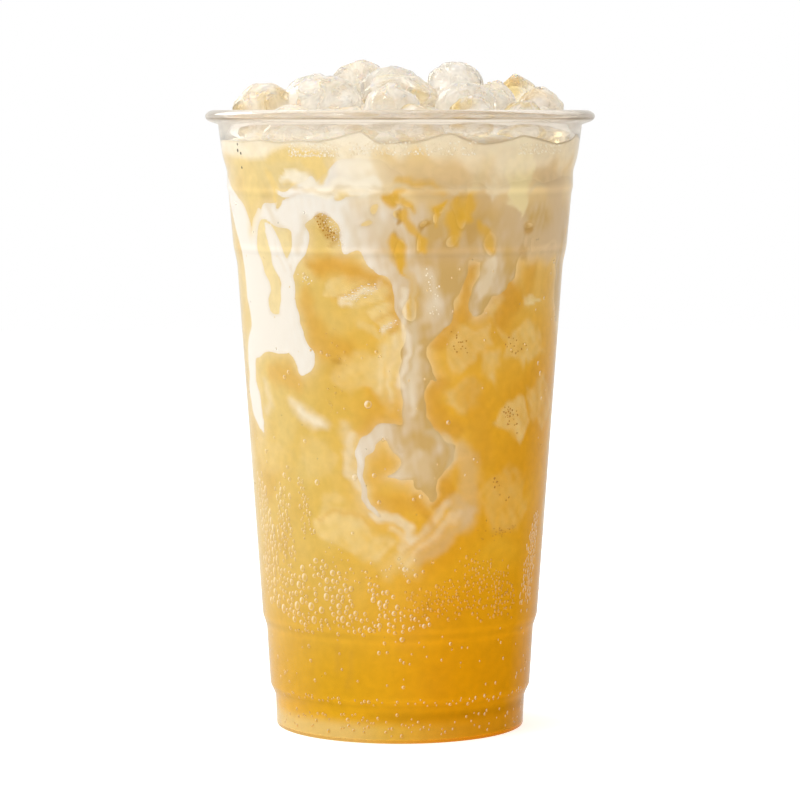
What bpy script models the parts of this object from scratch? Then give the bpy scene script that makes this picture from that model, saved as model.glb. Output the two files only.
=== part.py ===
"""Iced pineapple soda with poured cream, in a clear plastic cup.

A tall tapered cup holds the drink up to just below its rim. Cream poured over the ice has run
down inside the wall as a crown with drips, and clear ice lumps stand above the rim.
Metres, +Z up. The origin is the middle of the foot, on the table. The front is -Y.
"""

from math import cos, degrees, pi, radians, sin
from random import Random

import bmesh
import bpy
import numpy as np
from mathutils import Euler, Vector

MM = 0.001

# Cup: the outside, from the rim down. Sizes in millimetres.
CUP_HEIGHT = 155.75
RIM_RADIUS = 49.0
RIM_ROLL_RADIUS = 2.35
RIM_ROLL_HEIGHT = 3.1
LIP_DROP = 1.4
LIP_FLARE = 0.5
COLLAR_TOP_Z = 152.15
COLLAR_TOP_RADIUS = 45.8
COLLAR_LOW_RADIUS = 44.75
COLLAR_LOW_Z = 144.4
BELT_RADIUS = 43.6
BELT_TOP_Z = 140.6
BELT_LOW_Z = 136.6
UPPER_RING_RADIUS = 43.2
UPPER_RING_Z = 135.0
SHOULDER_RADIUS = 42.05
SHOULDER_Z = 121.8
TAPER_TOP_RADIUS = 41.1
TAPER_TOP_Z = 117.4
WAIST_RADIUS = 34.9
WAIST_Z = 28.4
BAND_TOP_RADIUS = 33.9
BAND_TOP_Z = 25.4
LEDGE_RADIUS = 33.0
LEDGE_Z = 10.6
FOOT_TOP_RADIUS = 31.7
FOOT_TOP_Z = 7.8
FOOT_RADIUS = 31.4
FOOT_CORNER = 1.25
FOOT_RING_INNER = 28.4
PUNT_RADIUS = 24.0
PUNT_HEIGHT = 3.4
PUNT_BEVEL = 1.0
WALL = 0.6
FLOOR_THICKNESS = 0.9
CHANNEL_LEAN = 0.6
CHANNEL_CORNER = 0.9
CUP_SEGMENTS = 48

# What fills the cup.
GAP = 0.35
DRINK_LEVEL = 146.0
DRINK_SEGMENTS = 40
CREAM_DEPTH = 2.6
CREAM_COLUMNS = 64
CREAM_ROW = 4.0
CREAM_LOW_Z = 52.0
CREAM_HIGH_Z = 145.0
THINNEST_CREAM = 2.2
CREAM_CUTTER_REACH = 1.5
FLAT_ENOUGH = 3.0

# Each cream stroke runs through (angle from the front in degrees, height, half width in mm).
# Angles grow towards +X, so the photographed side lies between -90 and 90.
CREAM_STROKES = {
    "crown": [(-54, 128, 2.2), (-41, 131, 3.6), (-28, 132, 4.8), (-17, 131.5, 5.2), (-5, 129, 7.2),
              (22, 127.5, 7.6), (40, 127.5, 7.8), (60, 128, 7.4), (90, 128.5, 7), (135, 130, 6.2),
              (180, 128, 7), (225, 131, 6), (255, 135, 4.5), (273, 139, 2.6)],
    "left_edge": [(-87, 139, 2.6), (-77, 132, 2.8), (-69, 123, 3), (-66, 112, 3), (-60, 101, 3.2)],
    "left_second": [(-54, 127, 2.2), (-49, 121, 2.2), (-46, 112, 2.6), (-43, 102, 3.6)],
    "left_third": [(-35, 129, 2.6), (-37, 121, 2)],
    "left_blob": [(-58, 101, 3), (-43, 99, 4.2), (-37, 95.5, 2.8), (-37, 92, 2.2)],
    "left_tail": [(-63, 101, 2.2), (-69, 91, 2), (-66, 81, 2.2), (-64, 76, 2)],
    "column": [(1, 123, 4), (9, 117.5, 6.6), (14, 111.5, 6), (9.5, 104, 4), (6.5, 97, 3),
               (5.5, 87, 2.6), (6, 78, 3.4)],
    "end_blob": [(7, 76, 4), (10, 71.5, 5.4), (10, 68, 4.6), (13, 61.5, 2)],
    "end_loop": [(3, 78, 2.2), (-6, 77.5, 2.2), (-13, 73, 2), (-15, 66, 2), (-13.5, 59, 2)],
    "right_lobe": [(38, 121, 5), (32, 114, 3.6), (28, 107, 2.2)],
    "right_edge": [(78, 124, 3), (78, 113, 2.4), (76, 103, 2)],
}
BACK_DRIPS = 7
BACK_DRIP_ANGLES = (104, 262)
BACK_DRIP_LENGTHS = (14, 22, 34, 48)
BACK_DRIP_WIDTHS = (2.2, 3.6)
BACK_DRIP_LEAN = 6
BACK_DRIP_SEED = 11
CROWN_MIDDLE_Z = 127
CROWN_LOW_Z = 121

# Ice lumps that show, as (x, y, top above the rim, width, height) in mm.
SHOWN_LUMPS = [
    (-33.5, -6, 6.8, 16.5, 13), (-18.5, -14, 9.0, 18.5, 15), (-10.3, 9, 12.6, 15.5, 14),
    (0.0, -12, 9.7, 18.5, 14), (13.8, -3, 12.2, 14.5, 13.5), (23.0, -9, 7.8, 12, 12),
    (29.0, 7, 9.0, 12, 12.5), (35.5, -4, 5.4, 12.5, 11), (17.5, -31, 3.6, 13, 12),
    (4.0, -35, 1.6, 14, 12), (30.0, -21, 2.2, 13.5, 12), (-12.0, -33, 1.2, 14.5, 12),
    (-26.5, -25, 1.0, 14.5, 12),
]
ICE_BASE_Z = DRINK_LEVEL + GAP
ICE_CORE_RADIUS = 38.0
ICE_CORE_EDGE_Z = 148.5
ICE_CORE_TOP_Z = 157.0
ICE_SEGMENTS = 32
ICE_DOME_RISE = 7.5
ICE_FILL_SINK = 2.5
LUMP_REACH = 44.2
LUMPS_AT_WALL = 17
LUMP_TRIES = 2500
LUMP_SPACING = 0.77
LUMP_FLATS = 4
ICE_SEED = 24


def clear_scene():
    for obj in list(bpy.data.objects):
        bpy.data.objects.remove(obj, do_unlink=True)


def make_material(name, colour, roughness, alpha=1.0, transmission=0.0):
    """A Principled finish. The colour is linear red, green and blue."""
    material = bpy.data.materials.new(name)
    material.use_nodes = True
    shader = material.node_tree.nodes["Principled BSDF"]
    shader.inputs["Base Color"].default_value = (*colour, 1.0)
    shader.inputs["Roughness"].default_value = roughness
    shader.inputs["Metallic"].default_value = 0.0
    shader.inputs["Alpha"].default_value = alpha
    shader.inputs["Transmission Weight"].default_value = transmission
    material.diffuse_color = (*colour, alpha)
    return material


def add_object(name, mesh, material):
    obj = bpy.data.objects.new(name, mesh)
    bpy.context.scene.collection.objects.link(obj)
    mesh.materials.append(material)
    return obj


def shade_round(mesh, sharp_degrees):
    mesh.shade_smooth()
    mesh.set_sharp_from_angle(angle=radians(sharp_degrees))


def arc(centre, radii, start, end, steps):
    """Points of an elliptical arc in the profile plane, angles in degrees from +R."""
    turns = [radians(start + (end - start) * k / steps) for k in range(steps + 1)]
    return [(centre[0] + radii[0] * cos(t), centre[1] + radii[1] * sin(t)) for t in turns]


def rim_points():
    """The rolled rim, from its inner top round to its underside."""
    centre = (RIM_RADIUS - RIM_ROLL_RADIUS, CUP_HEIGHT - RIM_ROLL_HEIGHT / 2)
    return arc(centre, (RIM_ROLL_RADIUS, RIM_ROLL_HEIGHT / 2), 120, -60, 6)


def wall_points():
    """The outside of the wall below the rim, top to bottom."""
    return [
        (COLLAR_TOP_RADIUS, COLLAR_TOP_Z),
        (COLLAR_LOW_RADIUS, COLLAR_LOW_Z),
        (BELT_RADIUS, BELT_TOP_Z),
        (BELT_RADIUS, BELT_LOW_Z),
        (UPPER_RING_RADIUS, UPPER_RING_Z),
        (SHOULDER_RADIUS, SHOULDER_Z),
        (TAPER_TOP_RADIUS, TAPER_TOP_Z),
        (WAIST_RADIUS, WAIST_Z),
        (BAND_TOP_RADIUS, BAND_TOP_Z),
        (LEDGE_RADIUS, LEDGE_Z),
        (FOOT_TOP_RADIUS, FOOT_TOP_Z),
    ]


def foot_points():
    """The foot, from its outer corner to the raised middle underneath."""
    corner = arc((FOOT_RADIUS - FOOT_CORNER, FOOT_CORNER), (FOOT_CORNER, FOOT_CORNER), 0, -90, 2)
    return corner + [
        (FOOT_RING_INNER, 0.0),
        (PUNT_RADIUS + PUNT_BEVEL, PUNT_HEIGHT - PUNT_BEVEL / 2),
        (PUNT_RADIUS, PUNT_HEIGHT),
        (0.0, PUNT_HEIGHT),
    ]


def inside_points(shrink):
    """The inside of the cup from the rim to the middle of the floor, pulled in by shrink."""
    inset = WALL + shrink
    lift = FLOOR_THICKNESS + shrink
    outside_only = (BELT_LOW_Z, LEDGE_Z)
    wall = [(r - inset, z) for r, z in wall_points() if z not in outside_only]
    channel = [
        (FOOT_RADIUS - inset, FOOT_CORNER + lift),
        (FOOT_RADIUS - inset - CHANNEL_CORNER, lift),
        (FOOT_RING_INNER + CHANNEL_LEAN * inset, lift),
        (PUNT_RADIUS + CHANNEL_LEAN * inset, PUNT_HEIGHT + lift),
        (0.0, PUNT_HEIGHT + lift),
    ]
    return wall + channel


def inner_radius(z):
    """Radius that the contents reach at a height, a gap inside the wall."""
    points = inside_points(GAP)
    heights = [p[1] for p in reversed(points)]
    radii = [p[0] for p in reversed(points)]
    foot = heights.index(FOOT_CORNER + FLOOR_THICKNESS + GAP)
    return float(np.interp(z, heights[foot:], radii[foot:]))


def turned_mesh(name, points, segments):
    """A closed solid from an open or closed profile in the R, Z plane, turned round Z."""
    bm = bmesh.new()
    turned = []
    for radius, height in points:
        if radius < 1e-6:
            ring = [bm.verts.new((0, 0, height * MM))] * segments
        else:
            turns = [2 * pi * k / segments for k in range(segments)]
            ring = [
                bm.verts.new((radius * MM * cos(t), radius * MM * sin(t), height * MM))
                for t in turns
            ]
        turned.append(ring)
    for upper, lower in zip(turned, turned[1:]):
        for k in range(segments):
            corners = [upper[k], upper[k - 1], lower[k - 1], lower[k]]
            distinct = list(dict.fromkeys(corners))
            if len(distinct) > 2:
                bm.faces.new(distinct)
    bmesh.ops.recalc_face_normals(bm, faces=bm.faces)
    mesh = bpy.data.meshes.new(name)
    bm.to_mesh(mesh)
    bm.free()
    return mesh


def build_cup():
    inside = inside_points(0.0)
    lip = [(inside[0][0] + LIP_FLARE, CUP_HEIGHT - LIP_DROP), inside[0]]
    profile = list(reversed(inside[1:])) + list(reversed(lip)) + rim_points()
    profile += wall_points() + foot_points()
    mesh = turned_mesh("cup", profile, CUP_SEGMENTS)
    shade_round(mesh, 30)
    plastic = make_material("clear_plastic", (0.86, 0.82, 0.74), 0.12, alpha=0.35, transmission=0.9)
    return add_object("cup", mesh, plastic)


def back_drips():
    """Cream strokes that run down the side the photograph doesn't show."""
    draw = Random(BACK_DRIP_SEED)
    first, last = BACK_DRIP_ANGLES
    strokes = {}
    for k in range(BACK_DRIPS):
        angle = first + (last - first) * k / (BACK_DRIPS - 1) + draw.uniform(-5, 5)
        length = draw.choice(BACK_DRIP_LENGTHS) + draw.uniform(-3, 3)
        width = draw.uniform(*BACK_DRIP_WIDTHS)
        lean = draw.uniform(-BACK_DRIP_LEAN, BACK_DRIP_LEAN)
        strokes[f"back_drip_{k}"] = [
            (angle, CROWN_MIDDLE_Z, width + 2),
            (angle + 0.3 * lean, CROWN_LOW_Z, width),
            (angle + 0.7 * lean, CROWN_LOW_Z - 0.6 * length, 0.7 * width),
            (angle + lean, CROWN_LOW_Z - length, width),
        ]
    return strokes


def stroke_field(angles, heights):
    """How far inside the cream each wall point lies, in mm, positive inside."""
    angle, height = np.meshgrid(angles, heights, indexing="ij")
    radius = np.array([inner_radius(z) for z in heights])[None, :]
    field = np.full(angle.shape, -1e3)
    for points in [*CREAM_STROKES.values(), *back_drips().values()]:
        for (a0, z0, w0), (a1, z1, w1) in zip(points, points[1:]):
            middle = (a0 + a1) / 2
            across = (angle - middle + 180) % 360 - 180
            x = np.radians(across) * radius
            x0 = np.radians(a0 - middle) * radius
            x1 = np.radians(a1 - middle) * radius
            run = (x1 - x0) ** 2 + (z1 - z0) ** 2
            along = ((x - x0) * (x1 - x0) + (height - z0) * (z1 - z0)) / run
            along = np.clip(along, 0, 1)
            distance = np.hypot(x - x0 - along * (x1 - x0), height - z0 - along * (z1 - z0))
            width = np.maximum(w0 + along * (w1 - w0), THINNEST_CREAM)
            field = np.maximum(field, width - distance)
    return field


def contour_cells(field, level):
    """Pieces of the grid's triangles where the field is above level, as lists of corners.

    A corner is a grid node, (i, j), or a crossing, (node, node, share of the way).
    """
    columns, rows = field.shape
    pieces = []
    for i in range(columns):
        for j in range(rows - 1):
            right = (i + 1) % columns
            a, b, c, d = (i, j), (right, j), (right, j + 1), (i, j + 1)
            for corners in ((a, b, c), (a, c, d)):
                piece = []
                for p, q in zip(corners, corners[1:] + corners[:1]):
                    fp, fq = field[p] - level, field[q] - level
                    if fp > 0:
                        piece.append(p)
                    if (fp > 0) != (fq > 0):
                        low, high = (p, q) if p < q else (q, p)
                        f_low, f_high = field[low] - level, field[high] - level
                        share = min(max(f_low / (f_low - f_high), 0.03), 0.97)
                        piece.append((low, high, share))
                if len(piece) > 2:
                    pieces.append(piece)
    return pieces


def cream_mesh(name, level, outer, depth):
    """The cream's plan at a contour level, made solid between two radii off the wall."""
    angles = np.arange(CREAM_COLUMNS) * 360 / CREAM_COLUMNS
    rows = int(round((CREAM_HIGH_Z - CREAM_LOW_Z) / CREAM_ROW)) + 1
    heights = np.linspace(CREAM_LOW_Z, CREAM_HIGH_Z, rows)
    field = stroke_field(angles, heights)
    bm = bmesh.new()
    made = {}

    def place(node, offset):
        turn = radians(angles[node[0]] - 90)
        height = heights[node[1]]
        radius = inner_radius(height) + offset
        return Vector((radius * cos(turn), radius * sin(turn), height)) * MM

    def vertex(corner, offset):
        key = (corner, offset)
        if key not in made:
            if len(corner) == 2:
                spot = place(corner, offset)
            else:
                low, high, share = corner
                spot = place(low, offset).lerp(place(high, offset), share)
            made[key] = bm.verts.new(spot)
        return made[key]

    edges = {}
    for piece in contour_cells(field, level):
        bm.faces.new([vertex(corner, outer) for corner in piece])
        bm.faces.new([vertex(corner, -depth) for corner in reversed(piece)])
        for p, q in zip(piece, piece[1:] + piece[:1]):
            edges[(p, q)] = edges.get((p, q), 0) + 1
    for p, q in edges:
        if (q, p) not in edges:
            bm.faces.new([vertex(q, outer), vertex(p, outer), vertex(p, -depth), vertex(q, -depth)])
    bmesh.ops.recalc_face_normals(bm, faces=bm.faces)
    bmesh.ops.dissolve_limit(bm, angle_limit=radians(FLAT_ENOUGH), verts=bm.verts, edges=bm.edges)
    mesh = bpy.data.meshes.new(name)
    bm.to_mesh(mesh)
    bm.free()
    return mesh


def build_cream():
    mesh = cream_mesh("cream", 0.0, 0.0, CREAM_DEPTH)
    shade_round(mesh, 50)
    return add_object("cream", mesh, make_material("cream", (0.88, 0.80, 0.66), 0.35))


def build_drink():
    """The drink, filling the cup to its level, with a groove where the cream lies."""
    inside = inside_points(GAP)
    side = [p for p in inside if p[1] < DRINK_LEVEL]
    profile = [(0.0, DRINK_LEVEL), (inner_radius(DRINK_LEVEL), DRINK_LEVEL)] + side
    mesh = turned_mesh("drink", profile, DRINK_SEGMENTS)
    drink = add_object("drink", mesh, make_material("soda", (0.75, 0.47, 0.12), 0.2))
    clearance = cream_mesh("cream_clearance", -GAP, CREAM_CUTTER_REACH, CREAM_DEPTH + GAP)
    cutter = add_object("cream_clearance", clearance, drink.data.materials[0])
    cutter.hide_render = True
    cutter.display_type = "WIRE"
    groove = drink.modifiers.new("cream groove", "BOOLEAN")
    groove.operation = "DIFFERENCE"
    groove.object = cutter
    shade_round(mesh, 30)
    return drink


def placed_lumps():
    """Every lump as (centre, half sizes, turn): the shown ones, a ring at the wall, then fill."""
    draw = Random(ICE_SEED)
    lumps = []

    def add_if_free(centre, half, turn):
        for other, size, _ in lumps:
            if (centre - other).length < LUMP_SPACING * (half.length + size.length) / 3 ** 0.5:
                return
        lumps.append((centre, half, turn))

    for x, y, top, width, height in SHOWN_LUMPS:
        half = Vector((width / 2, width / 2 * draw.uniform(0.85, 1.0), height / 2))
        centre = Vector((x, y, CUP_HEIGHT + top - height / 2))
        lumps.append((centre, half, draw.uniform(-15, 15)))
    for k in range(LUMPS_AT_WALL):
        half = Vector((draw.uniform(6.2, 7.4), draw.uniform(6.6, 7.8), draw.uniform(5.6, 6.6)))
        turn = 2 * pi * (k + draw.uniform(-0.12, 0.12)) / LUMPS_AT_WALL
        distance = LUMP_REACH - half.x
        height = ICE_BASE_Z + draw.uniform(2.5, 5.0)
        add_if_free(Vector((distance * cos(turn), distance * sin(turn), height)), half, degrees(turn))
    for _ in range(LUMP_TRIES):
        half = Vector([draw.uniform(6.2, 8.2), draw.uniform(6.2, 8.2), draw.uniform(5.6, 7.0)])
        reach = LUMP_REACH - 2 - max(half.x, half.y)
        distance = reach * draw.random() ** 0.5
        turn = draw.uniform(0, 2 * pi)
        dome = ICE_DOME_RISE * (1 - (distance / reach) ** 2)
        height = CUP_HEIGHT - ICE_FILL_SINK + dome
        add_if_free(Vector((distance * cos(turn), distance * sin(turn), height)), half, degrees(turn))
    return lumps


def lump_mesh(name, centre, half, turn, draw):
    """A melted lump: an icosphere stretched, then worn flat on a few sides."""
    bm = bmesh.new()
    bmesh.ops.create_icosphere(bm, subdivisions=2, radius=1.0)
    flats = []
    for _ in range(LUMP_FLATS):
        toward = Vector([draw.uniform(-1, 1) for _ in range(3)]).normalized()
        flats.append((toward, draw.uniform(0.8, 0.94)))
    turned = Euler((0, 0, radians(turn)))
    for vert in bm.verts:
        spot = vert.co.normalized()
        for toward, limit in flats:
            beyond = spot.dot(toward) - limit
            if beyond > 0:
                spot -= toward * beyond
        spot = Vector((spot.x * half.x, spot.y * half.y, spot.z * half.z))
        spot.rotate(turned)
        vert.co = (centre + spot) * MM
    mesh = bpy.data.meshes.new(name)
    bm.to_mesh(mesh)
    bm.free()
    return mesh


def apply_modifiers(obj):
    """Bakes an object's modifiers into its mesh."""
    graph = bpy.context.evaluated_depsgraph_get()
    baked = bpy.data.meshes.new_from_object(obj.evaluated_get(graph))
    obj.modifiers.clear()
    obj.data = baked


def keep_largest_body(mesh):
    """Drops loose scraps, and fills sealed hollows by dropping their walls."""
    bm = bmesh.new()
    bm.from_mesh(mesh)
    waiting = set(bm.verts)
    bodies = []
    while waiting:
        body = {waiting.pop()}
        edge_of_body = list(body)
        while edge_of_body:
            vert = edge_of_body.pop()
            for edge in vert.link_edges:
                other = edge.other_vert(vert)
                if other not in body:
                    body.add(other)
                    edge_of_body.append(other)
        waiting -= body
        bodies.append(body)
    bodies.sort(key=len)
    scraps = [vert for body in bodies[:-1] for vert in body]
    bmesh.ops.delete(bm, geom=scraps, context="VERTS")
    bm.to_mesh(mesh)
    bm.free()


def build_ice():
    """The heap: a core that fills the top of the cup, with the lumps fused on and trimmed."""
    ice = make_material("ice", (0.86, 0.82, 0.74), 0.1, alpha=0.6, transmission=0.8)
    dome = arc((0.0, ICE_CORE_EDGE_Z), (ICE_CORE_RADIUS, ICE_CORE_TOP_Z - ICE_CORE_EDGE_Z), 90, 0, 4)
    profile = [(0.0, dome[0][1])] + dome[1:]
    profile += [(ICE_CORE_RADIUS, ICE_BASE_Z - 2), (0.0, ICE_BASE_Z - 2)]
    heap = add_object("ice_heap", turned_mesh("ice_heap", profile, ICE_SEGMENTS), ice)
    group = bpy.data.collections.new("lumps")
    bpy.context.scene.collection.children.link(group)
    draw = Random(ICE_SEED + 1)
    for k, (centre, half, turn) in enumerate(placed_lumps()):
        name = f"lump_{k}"
        lump = bpy.data.objects.new(name, lump_mesh(name, centre, half, turn, draw))
        group.objects.link(lump)
    fuse = heap.modifiers.new("fuse lumps", "BOOLEAN")
    fuse.operation = "UNION"
    fuse.operand_type = "COLLECTION"
    fuse.collection = group
    apply_modifiers(heap)
    for lump in list(group.objects):
        bpy.data.objects.remove(lump, do_unlink=True)
    bpy.data.collections.remove(group)

    top = 1.3 * CUP_HEIGHT
    mouth = inner_radius(COLLAR_TOP_Z)
    envelope = [(0.0, top), (mouth, top), (mouth, COLLAR_TOP_Z)]
    envelope += [(inner_radius(ICE_BASE_Z), ICE_BASE_Z), (0.0, ICE_BASE_Z)]
    trimmer = add_object("ice_room", turned_mesh("ice_room", envelope, DRINK_SEGMENTS), ice)
    trim = heap.modifiers.new("trim to the cup", "BOOLEAN")
    trim.operation = "INTERSECT"
    trim.object = trimmer
    apply_modifiers(heap)
    bpy.data.objects.remove(trimmer, do_unlink=True)
    keep_largest_body(heap.data)
    shade_round(heap.data, 25)
    return heap


def main():
    clear_scene()
    root = bpy.data.objects.new("dirty_soda", None)
    bpy.context.scene.collection.objects.link(root)
    for piece in (build_cup(), build_drink(), build_cream(), build_ice()):
        piece.parent = root


main()
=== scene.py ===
"""Iced pineapple soda with poured cream, dressed for rendering.

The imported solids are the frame. Each operator below makes one piece or group of like pieces in
the frame's place: the cup, the drink, the cream, the bubbles, the ice and the droplets outside.
Sizes in the constants are millimetres unless their comment says otherwise. Angles run round the
cup in degrees, 0 at the front (-Y) and growing towards +X, and heights are above the table.
"""

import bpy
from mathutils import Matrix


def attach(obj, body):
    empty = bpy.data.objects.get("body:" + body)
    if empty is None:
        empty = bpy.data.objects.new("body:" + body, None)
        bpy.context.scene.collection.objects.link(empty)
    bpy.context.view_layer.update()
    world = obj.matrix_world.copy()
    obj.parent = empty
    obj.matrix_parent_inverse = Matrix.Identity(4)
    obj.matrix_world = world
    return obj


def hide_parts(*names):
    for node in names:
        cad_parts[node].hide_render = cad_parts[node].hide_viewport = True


bl_info = {
    "name": "Iced Soda Dressing",
    "version": (1, 0, 0),
    "blender": (4, 5, 0),
    "location": "3D Viewport > Sidebar > Iced Soda",
    "description": "Cup, drink, cream, bubbles, ice and droplets of an iced cream soda",
    "category": "Object",
}

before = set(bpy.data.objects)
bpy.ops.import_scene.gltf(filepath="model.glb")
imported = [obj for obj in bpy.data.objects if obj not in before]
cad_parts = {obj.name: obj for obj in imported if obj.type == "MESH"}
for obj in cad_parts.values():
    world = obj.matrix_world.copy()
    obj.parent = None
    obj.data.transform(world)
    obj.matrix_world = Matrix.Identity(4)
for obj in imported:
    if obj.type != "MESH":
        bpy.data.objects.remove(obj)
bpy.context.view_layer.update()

from math import cos, degrees, pi, radians, sin
from random import Random

import bmesh
import bpy
import numpy as np
from bpy.props import FloatProperty, FloatVectorProperty, IntProperty, PointerProperty
from bpy.types import Operator, Panel, PropertyGroup
from mathutils import Euler, Vector

MM = 0.001
BODY = "root"

# The cup's outside from the rim down: radius and height, with a corner rounding for each turn.
CUP_HEIGHT = 155.75
RIM_RADIUS = 49.0
RIM_ROLL_RADIUS = 2.35
RIM_ROLL_HEIGHT = 3.1
LIP_DROP = 1.4
LIP_FLARE = 0.5
COLLAR_TOP = (45.8, 152.15, 0.5)
COLLAR_LOW = (44.75, 144.4, 2.0)
BELT_TOP = (43.6, 140.6, 0.9)
BELT_LOW = (43.6, 136.6, 0.5)
UPPER_RING = (43.2, 135.0, 0.5)
SHOULDER = (42.05, 121.8, 0.9)
TAPER_TOP = (41.1, 117.4, 1.2)
WAIST = (34.9, 28.4, 0.7)
BAND_TOP = (33.9, 25.4, 0.7)
LEDGE = (33.0, 10.6, 0.45)
FOOT_TOP = (31.7, 7.8, 0.9)
FOOT_RADIUS = 31.4
FOOT_CORNER = 1.25
FOOT_RING_INNER = 28.4
PUNT_RADIUS = 24.0
PUNT_HEIGHT = 3.4
FLOOR_THICKNESS = 0.9
WALL = 0.6
CORNER_STEPS = 5

# What fills the cup.
DRINK_LEVEL = 146.0
INTO_WALL = 0.15
CREAM_LOW_Z = 50.0
CREAM_HIGH_Z = 146.0
DRINK_INSET = WALL - INTO_WALL
CREAM_INSET = WALL - 0.3
CREAM_EDGE_DIP = 0.17
CREAM_EDGE_WIDTH = 1.3

# The collar and rim: where the plastic hazes, where it thickens, and a painted shadow line under the rolled
# rim.
HAZE_HEIGHTS = (143, 155)
THICK_HEIGHTS = (149.6, 152.2)
CREASE_HEIGHT = 153.6
CREASE_HALF = 0.22

# Sizes of the patterns in the materials.
DRAWN_SIZE = 9
PULP_SIZE = 2.2
MELT_SIZE = 3.2
FROST_SIZE = 5
SEEP_SIZE = 9
GRAIN_SIZE = 1.4
# What shadow and diffuse rays keep on their way through each clear surface.
PLASTIC_CLEAR = (0.97, 0.96, 0.94)
ICE_CLEAR = (0.975, 0.965, 0.945)
WATER_CLEAR = (0.98, 0.98, 0.98)

# Cream strokes through (angle, height, half width), the photographed side first.
CROWN = {
    "crown_left": [(-53.6, 129.8, 0.7), (-48.9, 130.9, 2.2), (-44.0, 130.2, 3.4), (-37.2, 130.8, 4.1),
                   (-31.7, 132.1, 3.4), (-27.0, 134.1, 2.9), (-23.3, 134.1, 2.9)],
    "upper_finger": [(-44.8, 136.5, 0.6), (-40.4, 135.9, 1.2), (-35.2, 136.4, 1.5), (-31.1, 137.4, 1.9),
                     (-27.4, 136.5, 1.4), (-23.7, 137.9, 1.9), (-20.8, 140.1, 2.4)],
    "crown_top": [(-20.1, 140.4, 2.6), (-14.4, 140.9, 3.4), (-7.9, 140.4, 3.6), (-3.0, 139.4, 2.9)],
    "crown_mid": [(-23.4, 133.6, 2.7), (-18.2, 131.7, 3.9), (-13.8, 130.3, 5.3), (-9.1, 128.4, 7.7),
                  (-4.5, 125.5, 8.4), (-0.5, 122.6, 7.2)],
    "crown_mid_lobe": [(-16.0, 125.0, 3.5), (-20.0, 123.2, 1.5)],
    "crown_right": [(0.2, 128.4, 8.7), (10.1, 128.4, 9.1), (22.2, 128.3, 9.2), (35.7, 128.1, 9.2),
                    (49.7, 129.4, 9.3), (67.0, 132.0, 8.4), (90, 129.5, 7.2)],
    "crown_back": [(90, 129, 7), (112, 131, 6.2), (135, 129, 7.2), (158, 131, 6.4), (180, 128, 7.4),
                   (203, 130.5, 5.8), (225, 130, 6.4), (242, 133, 5), (258, 136, 4), (273, 140, 2.4)],
}
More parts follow.
